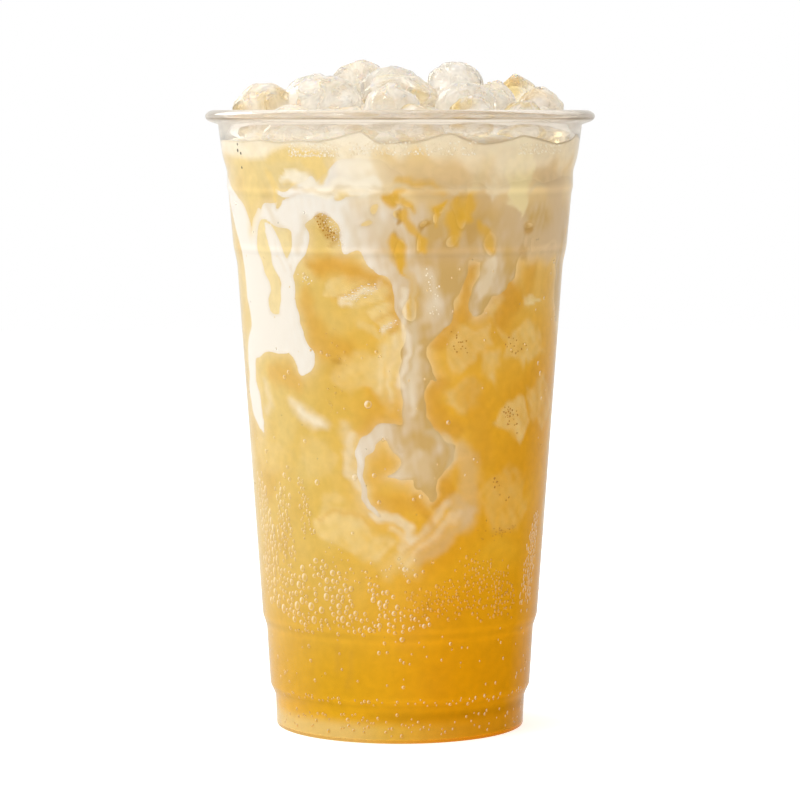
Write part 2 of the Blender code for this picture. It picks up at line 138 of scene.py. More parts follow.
STREAMS = {
    "left_edge": [(-87.1, 141.2, 2.1), (-78.7, 135.3, 3.8), (-70.8, 130.5, 4.5), (-66.9, 126.6, 5.1),
                  (-64.6, 122.4, 5.1), (-63.0, 117.5, 6.5), (-61.2, 112.6, 6.3), (-60.4, 107.6, 5.4),
                  (-60.3, 102.7, 5.5)],
    "left_second": [(-50.7, 126.7, 1.5), (-48.0, 121.1, 1.6), (-46.3, 115.7, 1.9), (-44.1, 112.8, 2.5),
                    (-42.9, 109.9, 3.0), (-41.8, 106.0, 3.9)],
    "left_third": [(-35.6, 125.5, 2.7), (-36.4, 121.8, 2.1), (-39.1, 118.3, 1.4), (-41.4, 115.1, 0.5)],
    "left_bridge": [(-53.4, 130.8, 1.2), (-56.5, 127.8, 1.5), (-58.0, 123.8, 1.7), (-60.0, 119.3, 1.7),
                    (-60.9, 114.9, 1.2)],
    "left_second_upper": [(-48.5, 127.0, 0.7), (-47.3, 124.6, 1.0), (-45.3, 121.7, 1.2),
                          (-43.7, 118.7, 1.2), (-42.8, 115.6, 1.2)],
    "left_third_upper": [(-36.1, 128.6, 2.0), (-36.5, 124.7, 2.0), (-38.7, 121.3, 1.7), (-41.3, 118.8, 1.0)],
    "left_blob": [(-58.9, 102.0, 5.0), (-48.6, 101.7, 5.4), (-40.9, 100.7, 4.2), (-37.4, 97.3, 3.4),
                  (-36.7, 94.4, 2.7), (-36.9, 92.4, 2.0)],
    "left_tail": [(-60.8, 100.5, 4.6), (-66.9, 97.5, 3.4), (-69.3, 93.1, 3.0), (-70.9, 88.5, 3.0),
                  (-71.0, 84.8, 3.6), (-68.4, 81.7, 3.5), (-66.0, 78.8, 2.3), (-64.8, 75.8, 0.6)],
    "column": [(12.9, 119.2, 7.4), (10.9, 114.8, 7.6), (10.0, 111.2, 7.3), (9.7, 108.0, 6.1),
               (8.3, 105.1, 4.6), (7.3, 102.2, 4.0), (5.2, 99.3, 3.1), (4.8, 96.4, 3.1),
               (5.2, 93.0, 3.4), (4.9, 90.1, 3.4), (4.2, 87.1, 2.9), (4.6, 84.2, 2.4),
               (4.6, 81.3, 2.4), (5.4, 78.8, 3.2)],
    "column_tip": [(8.9, 91.5, 1.2), (13.0, 90.0, 0.4)],
    "column_side": [(-2.6, 119.0, 1.4), (-0.4, 114.0, 1.7), (1.0, 109.8, 1.6), (2.6, 106.0, 1.3)],
    "end_blob": [(6.6, 76.8, 4.2), (9.8, 72.5, 5.8), (9.6, 68.8, 4.9), (11.5, 64.8, 2.0), (13.2, 62.0, 1.2)],
    "end_shoulder": [(-2.6, 76.6, 2.0), (1.4, 73.6, 3.2), (4.0, 71.0, 3.8)],
    "end_lip": [(4.7, 69.4, 3.2), (-0.6, 67.6, 2.0), (-5.6, 67.0, 0.6)],
    "end_side": [(14.0, 77.0, 1.0), (18.0, 74.0, 1.6), (18.4, 70.6, 1.6), (15.0, 67.0, 1.4)],
    "loop": [(3.2, 77.8, 2.1), (-5.0, 77.8, 2.0), (-10.5, 75.6, 1.7), (-14.0, 71.6, 1.3),
             (-15.2, 67.4, 0.9), (-14.4, 61.5, 0.8), (-12.6, 58.8, 0.7), (-8.0, 57.2, 0.6)],
    "right_lobe": [(34.9, 118.9, 5.3), (34.1, 116.5, 5.3), (32.1, 114.3, 4.3), (29.0, 111.7, 3.0),
                   (28.4, 109.0, 2.5), (28.5, 107.3, 1.7)],
    "right_lobe_side": [(40.7, 119.3, 2.9), (41.3, 116.1, 1.9)],
    "far_right": [(67.0, 132.0, 5.6), (70.2, 126.1, 4.6), (73.4, 121.0, 3.9), (76.2, 114.7, 3.7),
                  (77.6, 108.4, 3.2), (77.3, 102.9, 1.4)],
}
# Gaps in the crown where the drink shows: angle, height, half width and half height.
HOLES = [
    (-18.8, 135.0, 1.1, 0.6), (-8.4, 131.3, 0.9, 1.2), (-11.3, 127.8, 0.9, 0.6), (-1.8, 134.2, 1.1, 1.4),
    (0.0, 130.2, 1.4, 1.1), (2.7, 133.2, 1.4, 0.5), (13.2, 132.5, 1.2, 1.0), (12.1, 129.8, 0.5, 1.5),
    (8.1, 128.4, 0.9, 0.5), (8.7, 137.7, 0.6, 0.6), (3.6, 137.7, 0.6, 0.6), (6.1, 124.5, 0.5, 1.6),
    (-0.8, 123.1, 1.1, 2.0), (21.5, 134.8, 1.0, 2.2), (20.0, 130.5, 1.4, 2.8), (18.0, 124.7, 1.0, 1.3),
    (30.7, 124.3, 1.7, 2.6), (47.8, 126.9, 1.2, 0.7), (47.0, 122.6, 0.6, 1.6), (51.4, 121.0, 0.7, 1.6),
    (4.9, 108.6, 1.5, 2.3), (-25.2, 126.8, 3.2, 3.6), (-42.4, 133.3, 0.6, 1.2), (-52.0, 127.6, 0.4, 1.1),
]
# Painted strokes: name, paint, strength, softness in mm, then (angle, height, half width) points.
# These lie over cream and drink alike.
OVER_STROKES = (
    ("veil_peak_right", "veil", 0.6, 2.5, [(-8.8, 142.6, 2.9), (-4.6, 139.4, 2.0)]),
    ("veil_left", "milk", 0.85, 0.9, [
        (-40.9, 138.4, 1.0), (-38.2, 139.4, 1.4), (-34.9, 139.6, 1.6), (-31.8, 138.8, 1.5),
        (-26.7, 136.5, 1.5), (-17.9, 137.0, 2.0), (-8.9, 137.5, 2.0)
    ]),
    ("lobe_lace", "milk", 0.6, 0.5, [(-38.9, 141.2, 0.4), (-36.4, 141.9, 0.4), (-34.0, 141.0, 0.4)]),
    ("gold_tongue", "lemon", 0.85, 0.8, [(-28.1, 143.7, 2.9), (-26.5, 141.3, 1.7), (-26.5, 139.4, 0.5)]),
    ("gold_bump", "lemon", 0.6, 1.0, [(-46.8, 145.0, 1.5), (-40.2, 146.5, 2.0), (-33.1, 145.6, 1.5)]),
    ("gold_notch", "lemon", 0.8, 0.7, [(-47.4, 139.7, 1.2), (-45.4, 136.3, 1.0), (-45.0, 133.6, 0.7)]),
    ("gold_blotch", "lemon", 0.5, 0.8, [(-40.3, 137.6, 0.7), (-36.4, 137.4, 0.6)]),
    ("gold_line", "lemon", 0.55, 0.5, [(-20.4, 135.1, 0.6), (-17.7, 134.8, 0.5)]),
    ("gold_left", "lemon", 0.5, 3.0, [
        (-61.7, 142.2, 2.9), (-57.9, 137.4, 2.9), (-56.8, 132.5, 2.4), (-59.5, 126.8, 1.0)
    ]),
    ("pink_tip", "shade", 0.3, 1.0, [(-23.1, 136.5, 0.7), (-12.9, 136.3, 0.7), (-1.4, 136.6, 0.7)]),
    # Painted shade: a darker band on the crown's right, below the upper ring.
    ("tan_fold_shade", "tan", 0.45, 2.5, [(8.2, 136.6, 2.0), (16.6, 135.3, 2.0), (31.1, 134.5, 2.0)]),
    ("tan_low", "tan", 0.75, 3.0, [
        (39.0, 131.0, 2.5), (44.0, 124.0, 3.0), (53.5, 123.0, 3.5), (66.0, 124.0, 3.5)
    ]),
    ("fold_shade", "umber", 0.28, 3.0, [
        (6.0, 137.0, 2.0), (16.6, 135.5, 2.5), (27.0, 134.0, 2.5), (24.0, 128.0, 3.0), (20.0, 122.0, 3.0),
        (10.0, 121.0, 2.0)
    ]),
    ("corner_glint", "pale", 0.75, 0.8, [(22.8, 136.0, 0.7), (26.8, 140.8, 1.0), (30.4, 146.1, 0.7)]),
    ("tan_top", "tan", 0.55, 4.0, [
        (-1.4, 141.8, 2.4), (9.8, 140.9, 2.9), (21.5, 139.9, 2.9), (30.6, 140.8, 2.4)
    ]),
    ("tan_right", "tan", 0.85, 3.5, [
        (51.9, 143.5, 3.4), (61.5, 137.3, 3.9), (67.8, 129.8, 3.9), (60.5, 122.5, 3.4)
    ]),
    ("tan_mid", "tan", 0.4, 3.0, [(36.0, 125.5, 2.9), (24.6, 120.8, 2.0), (10.4, 120.7, 1.5)]),
    ("amber_top", "honey", 0.6, 1.2, [
        (0.2, 138.5, 0.7), (4.0, 137.5, 1.0), (9.2, 137.5, 1.0), (13.2, 136.1, 0.7)
    ]),
    ("amber_hole_a", "honey", 0.9, 0.9, [(-3.7, 135.1, 1.2), (-1.8, 133.9, 1.2), (-0.5, 135.1, 0.7)]),
    ("amber_arc", "honey", 0.75, 0.6, [(0.8, 132.7, 0.6), (3.1, 132.7, 0.6), (5.1, 131.5, 0.4)]),
    ("amber_hole_b", "umber", 0.8, 0.6, [(-0.8, 131.0, 0.7), (0.2, 129.6, 0.7), (-0.5, 128.9, 0.5)]),
    ("amber_wisp_a", "honey", 0.8, 0.7, [
        (1.5, 130.6, 1.0), (3.5, 128.4, 0.9), (5.5, 126.0, 0.7), (6.9, 122.6, 0.7)
    ]),
    ("amber_wisp_b", "umber", 0.7, 0.5, [(6.8, 127.7, 0.5), (8.8, 128.9, 0.4)]),
    ("amber_wisp_c", "honey", 0.7, 0.7, [(7.5, 125.0, 0.6), (8.2, 122.1, 0.6)]),
    ("amber_drop", "honey", 0.95, 0.8, [(12.4, 131.7, 1.1), (13.7, 132.7, 1.1), (15.0, 133.7, 0.5)]),
    ("amber_drop_tail", "honey", 0.6, 0.7, [(12.1, 130.8, 0.6), (12.1, 128.4, 0.4)]),
    ("amber_main", "honey", 0.85, 1.3, [
        (18.7, 134.6, 1.0), (19.5, 132.2, 1.5), (19.0, 129.3, 2.0), (17.7, 126.4, 1.2),
        (16.8, 124.0, 0.7)
    ]),
    ("amber_main_side", "honey", 0.85, 1.2, [(22.2, 135.1, 1.0), (23.0, 133.1, 1.2), (22.5, 130.2, 1.5)]),
    ("amber_right", "honey", 0.7, 1.3, [
        (27.8, 128.2, 0.7), (29.5, 125.8, 1.5), (31.3, 122.9, 1.5), (32.3, 121.4, 0.7)
    ]),
    ("amber_low", "honey", 0.9, 0.8, [
        (-2.5, 124.1, 1.2), (-1.2, 122.1, 1.5), (0.2, 120.2, 1.2), (1.2, 118.2, 1.0)
    ]),
    ("amber_low_left", "umber", 0.4, 0.8, [(-2.2, 125.5, 0.7), (-0.8, 124.5, 0.5)]),
    ("amber_stream", "honey", 0.7, 0.9, [
        (1.2, 119.2, 1.0), (2.9, 116.8, 0.7), (4.0, 112.4, 0.7), (4.4, 109.5, 1.1), (3.7, 107.6, 0.7)
    ]),
    ("brown_spot", "umber", 0.6, 0.8, [(46.4, 127.0, 0.9), (48.5, 126.5, 0.6)]),
    ("brown_wisp", "umber", 0.35, 0.8, [(46.5, 122.6, 0.7), (46.8, 120.1, 1.0)]),
    ("speckle_hollow", "umber", 0.55, 0.7, [
        (-28.0, 129.7, 0.7), (-25.1, 129.5, 0.7), (-26.7, 127.3, 0.5), (-23.9, 125.4, 0.6),
        (-21.0, 124.9, 0.5), (-23.3, 123.0, 0.4)
    ]),
    ("cream_shade_a", "shade", 0.4, 1.2, [(-33.6, 129.1, 0.7), (-34.7, 125.5, 0.7), (-36.0, 121.8, 0.7)]),
    ("cream_shade_b", "shade", 0.4, 1.2, [(-48.7, 132.3, 0.5), (-46.0, 129.9, 0.7), (-43.4, 127.5, 0.7)]),
    ("cream_shade_c", "shade", 0.4, 1.6, [(-11.1, 130.8, 1.0), (-7.1, 128.9, 1.0), (-4.5, 125.5, 1.0)]),
    ("cream_shade_d", "shade", 0.35, 1.4, [(-18.6, 130.7, 1.0), (-15.9, 127.9, 1.2), (-14.7, 124.0, 1.0)]),
    # Painted shade: the grey line that the cup's upper ring throws.
    ("ring_upper_shade", "shade", 0.5, 0.6, [
        (-42.0, 136.6, 0.5), (-23.1, 136.5, 0.5), (0.2, 136.6, 0.5), (23.4, 136.7, 0.5),
        (53.7, 136.9, 0.5)
    ]),
    ("column_streak_a", "shade", 0.55, 0.7, [
        (2.9, 117.8, 0.5), (4.7, 110.0, 0.5), (5.1, 102.7, 0.4), (4.5, 95.4, 0.4), (3.5, 85.7, 0.4)
    ]),
    ("column_streak_b", "milk", 0.5, 0.8, [
        (0.5, 112.4, 0.7), (1.6, 106.4, 0.6), (2.7, 101.5, 0.6), (1.6, 95.4, 0.7), (0.9, 89.3, 0.7)
    ]),
    ("column_streak_c", "milk", 0.35, 1.0, [(5.9, 97.9, 0.5), (5.3, 90.5, 0.6), (4.6, 83.2, 0.7)]),
    ("column_bright", "milk", 0.3, 1.6, [(8.5, 116.0, 2.0), (10.7, 111.2, 2.0), (10.1, 106.3, 1.5)]),
    ("lobe_bright", "milk", 0.45, 1.2, [(32.8, 118.9, 1.5), (30.8, 114.6, 1.2), (28.6, 110.7, 1.0)]),
    ("blob_shade", "shade", 0.5, 1.0, [
        (11.4, 77.8, 0.7), (16.9, 75.7, 1.0), (19.8, 72.7, 1.0), (18.7, 69.3, 0.7)
    ]),
    ("blob_milk", "milk", 0.22, 1.6, [(2.1, 68.5, 2.0), (7.0, 70.4, 2.2), (9.7, 67.0, 1.5)]),
    ("blob_crease", "umber", 0.25, 0.5, [(-0.6, 74.4, 0.3), (0.2, 73.4, 0.3)]),
)
# These tint the drink alone: sunk ice, clouds of cream and clear pockets.
DRINK_STROKES = (
    ("slit_pale", "pale", 0.85, 1.0, [
        (-52.7, 128.4, 1.6), (-52.4, 124.0, 3.2), (-53.2, 118.5, 4.0), (-51.8, 112.2, 4.0),
        (-49.7, 106.3, 2.6)
    ]),
    ("gap_pale", "pale", 0.75, 1.2, [
        (-50.6, 127.4, 1.8), (-45.7, 125.1, 3.0), (-42.3, 121.7, 2.6), (-42.6, 117.3, 1.6)
    ]),
    ("ice_a_glint", "milk", 0.55, 0.9, [
        (-20.2, 109.9, 0.6), (-15.3, 111.6, 0.7), (-11.0, 112.9, 0.7), (-7.8, 114.1, 0.4)
    ]),
    ("ice_a_glint_low", "milk", 0.45, 0.7, [(-21.0, 108.7, 0.4), (-16.9, 108.7, 0.4)]),
    ("ice_a_fold", "deep", 0.4, 0.7, [(-24.0, 109.6, 0.4), (-19.0, 111.8, 0.4), (-13.0, 114.0, 0.4)]),
    ("ice_b_fold", "deep", 0.4, 0.6, [(-9.0, 104.0, 0.3), (-5.5, 106.0, 0.4), (-2.0, 106.5, 0.3)]),
    ("ice_b_glint", "milk", 0.55, 0.7, [(-5.8, 102.5, 0.5), (-3.4, 103.2, 0.5), (-1.2, 104.7, 0.3)]),
    ("ice_b_wisp", "icy", 0.6, 0.6, [(-14.8, 104.1, 0.6), (-11.2, 102.7, 0.6), (-6.9, 101.3, 0.5)]),
    ("ice_c", "icy", 0.45, 1.5, [(-35.5, 115.0, 1.7), (-32.0, 116.5, 1.2)]),
    ("pale_band", "icy", 0.65, 1.8, [
        (-1.2, 101.5, 1.5), (-3.4, 97.9, 2.4), (-4.9, 92.5, 2.9), (-5.7, 87.6, 2.4), (-4.2, 83.7, 1.2)
    ]),
    ("pale_band_line_a", "milk", 0.25, 1.1, [
        (-0.5, 100.8, 0.4), (-3.1, 95.4, 0.4), (-4.2, 89.3, 0.4), (-3.5, 85.2, 0.3)
    ]),
    ("pale_band_line_b", "milk", 0.2, 1.1, [(-4.8, 99.1, 0.3), (-6.7, 93.0, 0.4), (-7.5, 87.6, 0.3)]),
    ("pale_band_line_c", "gold", 0.25, 1.0, [(-2.0, 97.4, 0.3), (-4.9, 92.5, 0.3), (-5.7, 87.1, 0.3)]),
    ("brown_mark", "umber", 0.55, 0.6, [(-24.7, 95.4, 0.3), (-22.8, 94.7, 0.5)]),
    ("dark_a", "deep", 0.7, 2.2, [
        (-31.6, 119.0, 1.2), (-27.8, 118.0, 2.0), (-19.0, 118.2, 1.5), (-8.5, 115.3, 1.2)
    ]),
    ("dark_b", "deep", 0.45, 2.5, [
        (-35.0, 109.6, 1.2), (-32.8, 104.8, 2.0), (-29.0, 98.8, 2.4), (-19.9, 98.9, 2.0)
    ]),
    ("dark_c", "deep", 0.6, 1.2, [
        (-5.4, 113.6, 0.7), (-3.0, 110.5, 1.0), (-0.5, 105.2, 1.0), (-1.6, 102.0, 0.7)
    ]),
    ("dark_d", "deep", 0.4, 1.8, [
        (-11.6, 87.6, 0.7), (-7.9, 84.7, 1.7), (-2.8, 82.7, 2.0), (-1.3, 81.3, 1.5), (-8.0, 80.7, 1.7),
        (-14.1, 77.2, 1.0)
    ]),
    ("dark_e", "deep", 0.7, 1.6, [
        (25.1, 117.6, 1.0), (23.4, 113.5, 1.2), (22.8, 109.4, 1.5), (22.6, 105.5, 2.4),
        (17.4, 103.6, 2.0), (12.8, 99.0, 1.5)
    ]),
    ("dark_f", "deep", 0.8, 2.0, [(37.8, 113.5, 2.0), (44.0, 109.4, 2.9), (38.6, 105.1, 2.4)]),
    ("dark_f_top", "deep", 0.5, 2.0, [(51.8, 116.6, 2.0), (52.5, 111.6, 2.0)]),
    ("dark_g", "deep", 0.7, 2.0, [
        (14.9, 89.2, 2.0), (12.0, 84.4, 2.2), (13.7, 79.4, 2.4), (21.1, 78.1, 2.0)
    ]),
    ("dark_h", "deep", 0.45, 2.5, [(26.8, 86.6, 2.9), (30.6, 80.3, 3.4), (32.1, 72.8, 2.9)]),
    ("dark_i", "deep", 0.25, 2.0, [(-9.3, 72.1, 1.5), (-6.6, 69.0, 1.7), (-9.8, 66.0, 1.2)]),
    ("dark_j", "deep", 0.75, 1.3, [(17.3, 65.4, 1.2), (18.6, 62.9, 1.5), (14.8, 59.5, 1.3)]),
    ("dark_k", "deep", 0.35, 1.8, [(-7.5, 61.1, 2.0), (0.2, 60.4, 2.2), (7.2, 59.1, 1.7)]),
    ("dark_left", "deep", 0.4, 2.0, [(-53.1, 91.3, 2.0), (-44.5, 90.7, 2.0), (-39.6, 88.9, 1.5)]),
    ("lump_left", "veil", 0.75, 1.6, [
        (-43.1, 84.3, 1.0), (-39.3, 82.0, 1.7), (-32.9, 80.0, 1.7), (-27.7, 79.4, 1.0)
    ]),
    ("lump_left_in", "milk", 0.5, 0.8, [(-40.7, 82.9, 0.5), (-35.6, 80.9, 0.7), (-30.3, 79.3, 0.5)]),
    ("tail_side", "veil", 0.45, 1.6, [(-58.6, 87.9, 1.0), (-56.4, 84.2, 1.2), (-58.4, 81.2, 1.0)]),
    ("outer_loop_a", "veil", 0.6, 1.2, [
        (-18.0, 76.2, 1.0), (-20.6, 73.2, 1.2), (-19.9, 69.7, 1.0), (-16.8, 66.4, 1.0),
        (-14.5, 62.9, 0.7)
    ]),
    ("outer_loop_b", "veil", 0.4, 1.4, [(-20.7, 79.3, 1.0), (-19.7, 75.7, 1.0)]),
    ("cloud_b", "icy", 0.6, 1.6, [(-30.5, 57.5, 1.5), (-23.9, 56.3, 1.7), (-18.9, 55.4, 1.5)]),
    ("cloud_c", "icy", 0.55, 1.6, [(-30.2, 60.5, 1.2), (-24.5, 61.2, 1.2)]),
    ("cloud_edge", "deep", 0.35, 0.7, [
        (-32.9, 56.2, 0.3), (-26.0, 57.7, 0.3), (-18.8, 57.4, 0.4), (-12.4, 55.1, 0.4)
    ]),
    ("loop_on", "veil", 0.7, 0.8, [
        (-10.3, 58.1, 0.7), (-6.0, 56.9, 1.0), (-1.4, 56.4, 1.0), (1.8, 54.7, 1.0), (3.3, 51.7, 0.7),
        (4.1, 50.0, 0.5)
    ]),
    ("loop_on_in", "veil", 0.45, 0.9, [(-2.9, 53.7, 0.7), (1.8, 51.2, 0.7), (0.2, 48.7, 0.7)]),
    ("band_a", "veil", 0.5, 1.0, [
        (0.2, 45.8, 0.7), (4.1, 49.7, 0.9), (10.4, 54.1, 1.0), (15.9, 58.0, 1.0), (19.1, 60.1, 0.7)
    ]),
    ("band_b", "veil", 0.5, 0.9, [
        (3.4, 44.7, 0.7), (8.1, 48.7, 0.9), (13.7, 52.1, 1.0), (19.3, 55.7, 1.0), (22.5, 57.8, 0.7)
    ]),
    ("band_c", "tan", 0.45, 1.3, [
        (8.2, 45.7, 0.7), (13.8, 48.6, 1.0), (19.4, 51.9, 1.2), (24.4, 55.3, 1.2), (27.7, 58.6, 1.2)
    ]),
    ("band_gap_a", "deep", 0.4, 0.5, [(1.8, 47.2, 0.3), (7.3, 51.2, 0.3), (13.6, 55.0, 0.3)]),
    ("band_gap_b", "deep", 0.4, 0.5, [(6.6, 46.7, 0.3), (12.1, 50.4, 0.3), (18.5, 53.9, 0.3)]),
    ("band_low", "icy", 0.45, 2.2, [(-5.8, 43.7, 2.0), (-0.6, 46.2, 2.0), (5.0, 44.2, 1.7)]),
    ("tan_side", "tan", 0.42, 2.2, [
        (23.8, 73.3, 1.2), (26.5, 70.1, 2.0), (27.2, 65.6, 2.2), (27.6, 60.6, 2.2), (26.1, 55.7, 2.2)
    ]),
    ("tan_blob", "tan", 0.4, 1.4, [(22.0, 60.3, 2.0), (25.1, 57.7, 2.0)]),
    ("smudge_a", "umber", 0.25, 1.0, [(-27, 24.5, 0.5), (-28, 18.5, 0.6)]),
    ("smudge_b", "umber", 0.2, 1.0, [(-21, 22.0, 0.5), (-22, 15.0, 0.6)]),
    ("drip_shade", "deep", 0.5, 1.0, [(5.2, 61.6, 0.7), (9.5, 57.6, 1.2), (11.2, 55.6, 1.0)]),
)
# Painted patches with straight edges, as pieces of sunk ice have: name, paint, strength, softness,
# then a convex outline through (angle, height).
OVER_PATCHES = (
    ("corner", "pale", 0.95, 0.5, [
        (34.4, 150.4), (44.2, 151.0), (46.8, 146.0), (47.8, 134.8), (44.0, 130.0), (38.7, 132.7),
        (35.6, 141.2)
    ]),
    ("corner_side", "veil", 0.5, 0.8, [
        (28.2, 141.8), (34.7, 145.1), (36.8, 136.9), (33.1, 134.0), (28.9, 136.5)
    ]),
    ("peak_left", "milk", 0.6, 1.2, [
        (-20.5, 151.4), (-8.4, 151.9), (-7.4, 143.8), (-8.9, 136.6), (-17.7, 135.1), (-24.5, 137.0),
        (-22.1, 141.8), (-19.9, 146.1)
    ]),
)
DRINK_PATCHES = (
    ("ice_f", "icy", 0.42, 0.9, [
        (38.9, 101.7), (46.8, 102.9), (59.8, 101.0), (64.3, 96.4), (56.8, 93.7), (45.9, 92.6),
        (39.4, 95.8)
    ]),
    ("ice_g", "pale", 0.6, 0.5, [
        (46.9, 110.6), (57.4, 110.0), (59.9, 108.2), (54.0, 106.2), (48.4, 107.8)
    ]),
    ("ice_h", "icy", 0.48, 0.8, [
        (37.6, 85.0), (43.4, 86.3), (52.8, 85.4), (56.5, 79.8), (49.3, 75.1), (41.3, 77.5), (37.5, 80.6)
    ]),
    ("ice_e", "icy", 0.38, 0.8, [
        (15.9, 103.1), (22.7, 104.2), (30.8, 102.4), (32.9, 97.4), (26.4, 94.7), (21.7, 91.3),
        (16.2, 95.8), (13.8, 100.2)
    ]),
    ("ice_l", "icy", 0.4, 0.8, [(31.3, 107.7), (36.8, 109.6), (41.4, 105.1), (38.0, 101.2), (32.5, 102.8)]),
    ("ice_i", "icy", 0.2, 1.4, [
        (34.3, 67.8), (43.2, 68.9), (54.8, 64.9), (59.4, 57.1), (51.4, 52.5), (38.5, 54.2), (33.0, 60.9)
    ]),
    ("ice_j", "icy", 0.35, 1.0, [
        (17.2, 89.9), (23.3, 90.8), (30.2, 87.2), (28.7, 83.3), (22.2, 82.5), (16.5, 85.5)
    ]),
    ("ice_m", "icy", 0.4, 1.0, [(29.5, 97.0), (35.5, 97.9), (38.7, 93.8), (36.2, 89.5), (29.9, 90.6)]),
    ("ice_n", "icy", 0.35, 1.0, [(55.0, 88.3), (66.1, 89.3), (74.6, 83.3), (70.3, 76.0), (58.3, 78.2)]),
    ("ice_a", "icy", 0.74, 0.6, [
        (-30.2, 111.7), (-26.4, 114.4), (-18.8, 115.7), (-10.9, 116.3), (-5.0, 114.4), (-5.4, 111.5),
        (-10.4, 109.0), (-16.9, 107.5), (-24.4, 108.4)
    ]),
    ("ice_b", "icy", 0.85, 0.5, [
        (-11.1, 106.1), (-6.8, 109.0), (-1.2, 108.1), (0.5, 105.2), (-1.2, 102.5), (-6.2, 101.3),
        (-10.5, 103.2)
    ]),
    ("ice_d", "icy", 0.5, 1.2, [
        (-22.7, 95.7), (-15.0, 97.8), (-8.5, 95.9), (-6.3, 91.5), (-10.1, 87.1), (-17.7, 86.5),
        (-23.8, 90.3)
    ]),
    ("ice_o", "icy", 0.3, 1.2, [
        (-41.0, 75.0), (-30.5, 76.4), (-23.9, 72.6), (-26.7, 67.1), (-36.9, 65.7), (-42.7, 69.5)
    ]),
    ("ice_p", "icy", 0.3, 1.2, [(-67.5, 73.7), (-52.4, 75.5), (-45.7, 71.8), (-50.0, 66.1), (-65.4, 66.2)]),
    ("cloud_a", "icy", 0.65, 1.2, [
        (-33.8, 56.2), (-25.5, 58.2), (-17.2, 56.0), (-8.4, 53.1), (-1.4, 49.7), (-6.2, 47.2),
        (-17.5, 48.0), (-26.0, 49.8), (-32.2, 52.5)
    ]),
)
# Painted highlights and shade lines that the cup's rings throw on drink and cream: height, half height, and
# how much brighter (or darker).
RING_HIGHLIGHTS_AND_SHADES = (
    (136.4, 0.6, 0.10), (134.9, 0.5, -0.05), (122.0, 0.7, 0.09), (120.7, 0.5, -0.07),
    (28.4, 0.5, 0.05), (26.9, 0.5, -0.10), (25.3, 0.6, 0.06), (10.9, 0.5, 0.07), (9.4, 0.6, -0.1),
    (6.4, 1.6, 0.10), (3.0, 0.8, -0.05), (1.8, 0.6, 0.10),
)
# Upper edge of the wet film inside the wall, and where it turns into drink: (angle, height).
FILM_TOP = (
    (-90, 148.2), (-74, 148.5), (-59, 148.1), (-49, 148.6), (-41, 147.9), (-33, 148.4), (-26, 148.2),
    (-20.4, 149.0), (-15.4, 150.2), (-11.8, 150.8), (-9.1, 149.2), (-6.7, 147.9), (0.2, 148.0), (4.5, 148.1),
    (8.8, 148.9), (13.2, 150.1), (16.7, 150.2), (19.4, 149.2), (23.2, 148.1), (27.1, 147.7), (32.1, 148.1),
    (37.3, 149.0), (41.7, 149.8), (47.9, 149.0), (58.5, 147.6), (68.4, 148.4), (74.9, 150.0), (85, 148.6),
    (104, 150.4), (131, 148.4), (152, 150.8), (178, 148.6), (203, 150.2), (228, 148.5), (249, 149.9),
)
FILM_FOOT = (
    (-90, 145.2), (-78, 145.6), (-66, 144.8), (-56, 144.3), (-48, 144.5), (-44, 146.2), (-38, 147.6),
    (-32, 147.0), (-24, 146.2), (-14, 147.0), (0, 146.0), (15, 145.4), (30, 144.4), (45, 143.2),
    (60, 143.8), (80, 145.0), (110, 143.8), (140, 146.0), (172, 144.2), (205, 146.2), (240, 144.4),
)
# How the drink's colour runs: paint, sides and heights between which it comes in, and its share.
# A side is the sine of the angle, so -1 is the left, 0 the front and 1 the right.
# The runs by side are painted light and shade: lemon paler on the left, towards the key light, and deep on
# the right, away from it. The runs by height are the drink's own colour.
DRINK_RUNS = (
    ("amber", None, (56, 14), 1.0), ("lemon", None, (90, 146), 0.6),
    ("lemon", (-0.1, -1.0), (0, 70), 0.4), ("deep", (0.0, 0.9), None, 0.4),
)
# Painted shade and light: deeper and darker on the right and low down, away from the key light, and paler on
# the left towards it. Each is sides, heights, and what red, green and blue lose.
DRINK_SHADE_AND_LIGHT = (
    ((-0.15, 0.35), (112, 76), (0.0, 0.1, 0.6)), ((0.05, 0.6), (62, 34), (0.0, 0.03, 0.6)),
    ((0.1, -0.6), None, (0.1, 0.02, -0.12)),
)
# The drink's foot: painted light, a pale glow stronger on the left towards the key light, and painted shade,
# darker on the right and in a ring above it.
FOOT_GLOW_HEIGHTS = (6.5, 3.0)
FOOT_SHADE_SIDES = (-0.45, 0.0)
FOOT_SHADE_HEIGHTS = (7.5, 5.0)
FOOT_SHADE = (0.0, 0.03, 0.45)
FOOT_RING = (6.6, 1.5)
FOOT_RING_LOSS = 0.26
CREAM_FILLET = 0.9
HOLE_FILLET = 0.5
# Noise that drifts what lies on the wall: reach and size in mm, and seeds for round and up.
CREAM_DRIFT = ((0.55, 7, 31, 33), (0.22, 2.6, 32, 34))
PAINT_DRIFT = ((0.4, 4, 52, 54), (0.22, 1.6, 58, 59))
PATCH_DRIFT = ((0.9, 4.5, 67, 68),)
PATCH_EDGE = 1.3
# How strong the painted highlight along each patch's rim is.
PATCH_RIM_HIGHLIGHT = 0.07

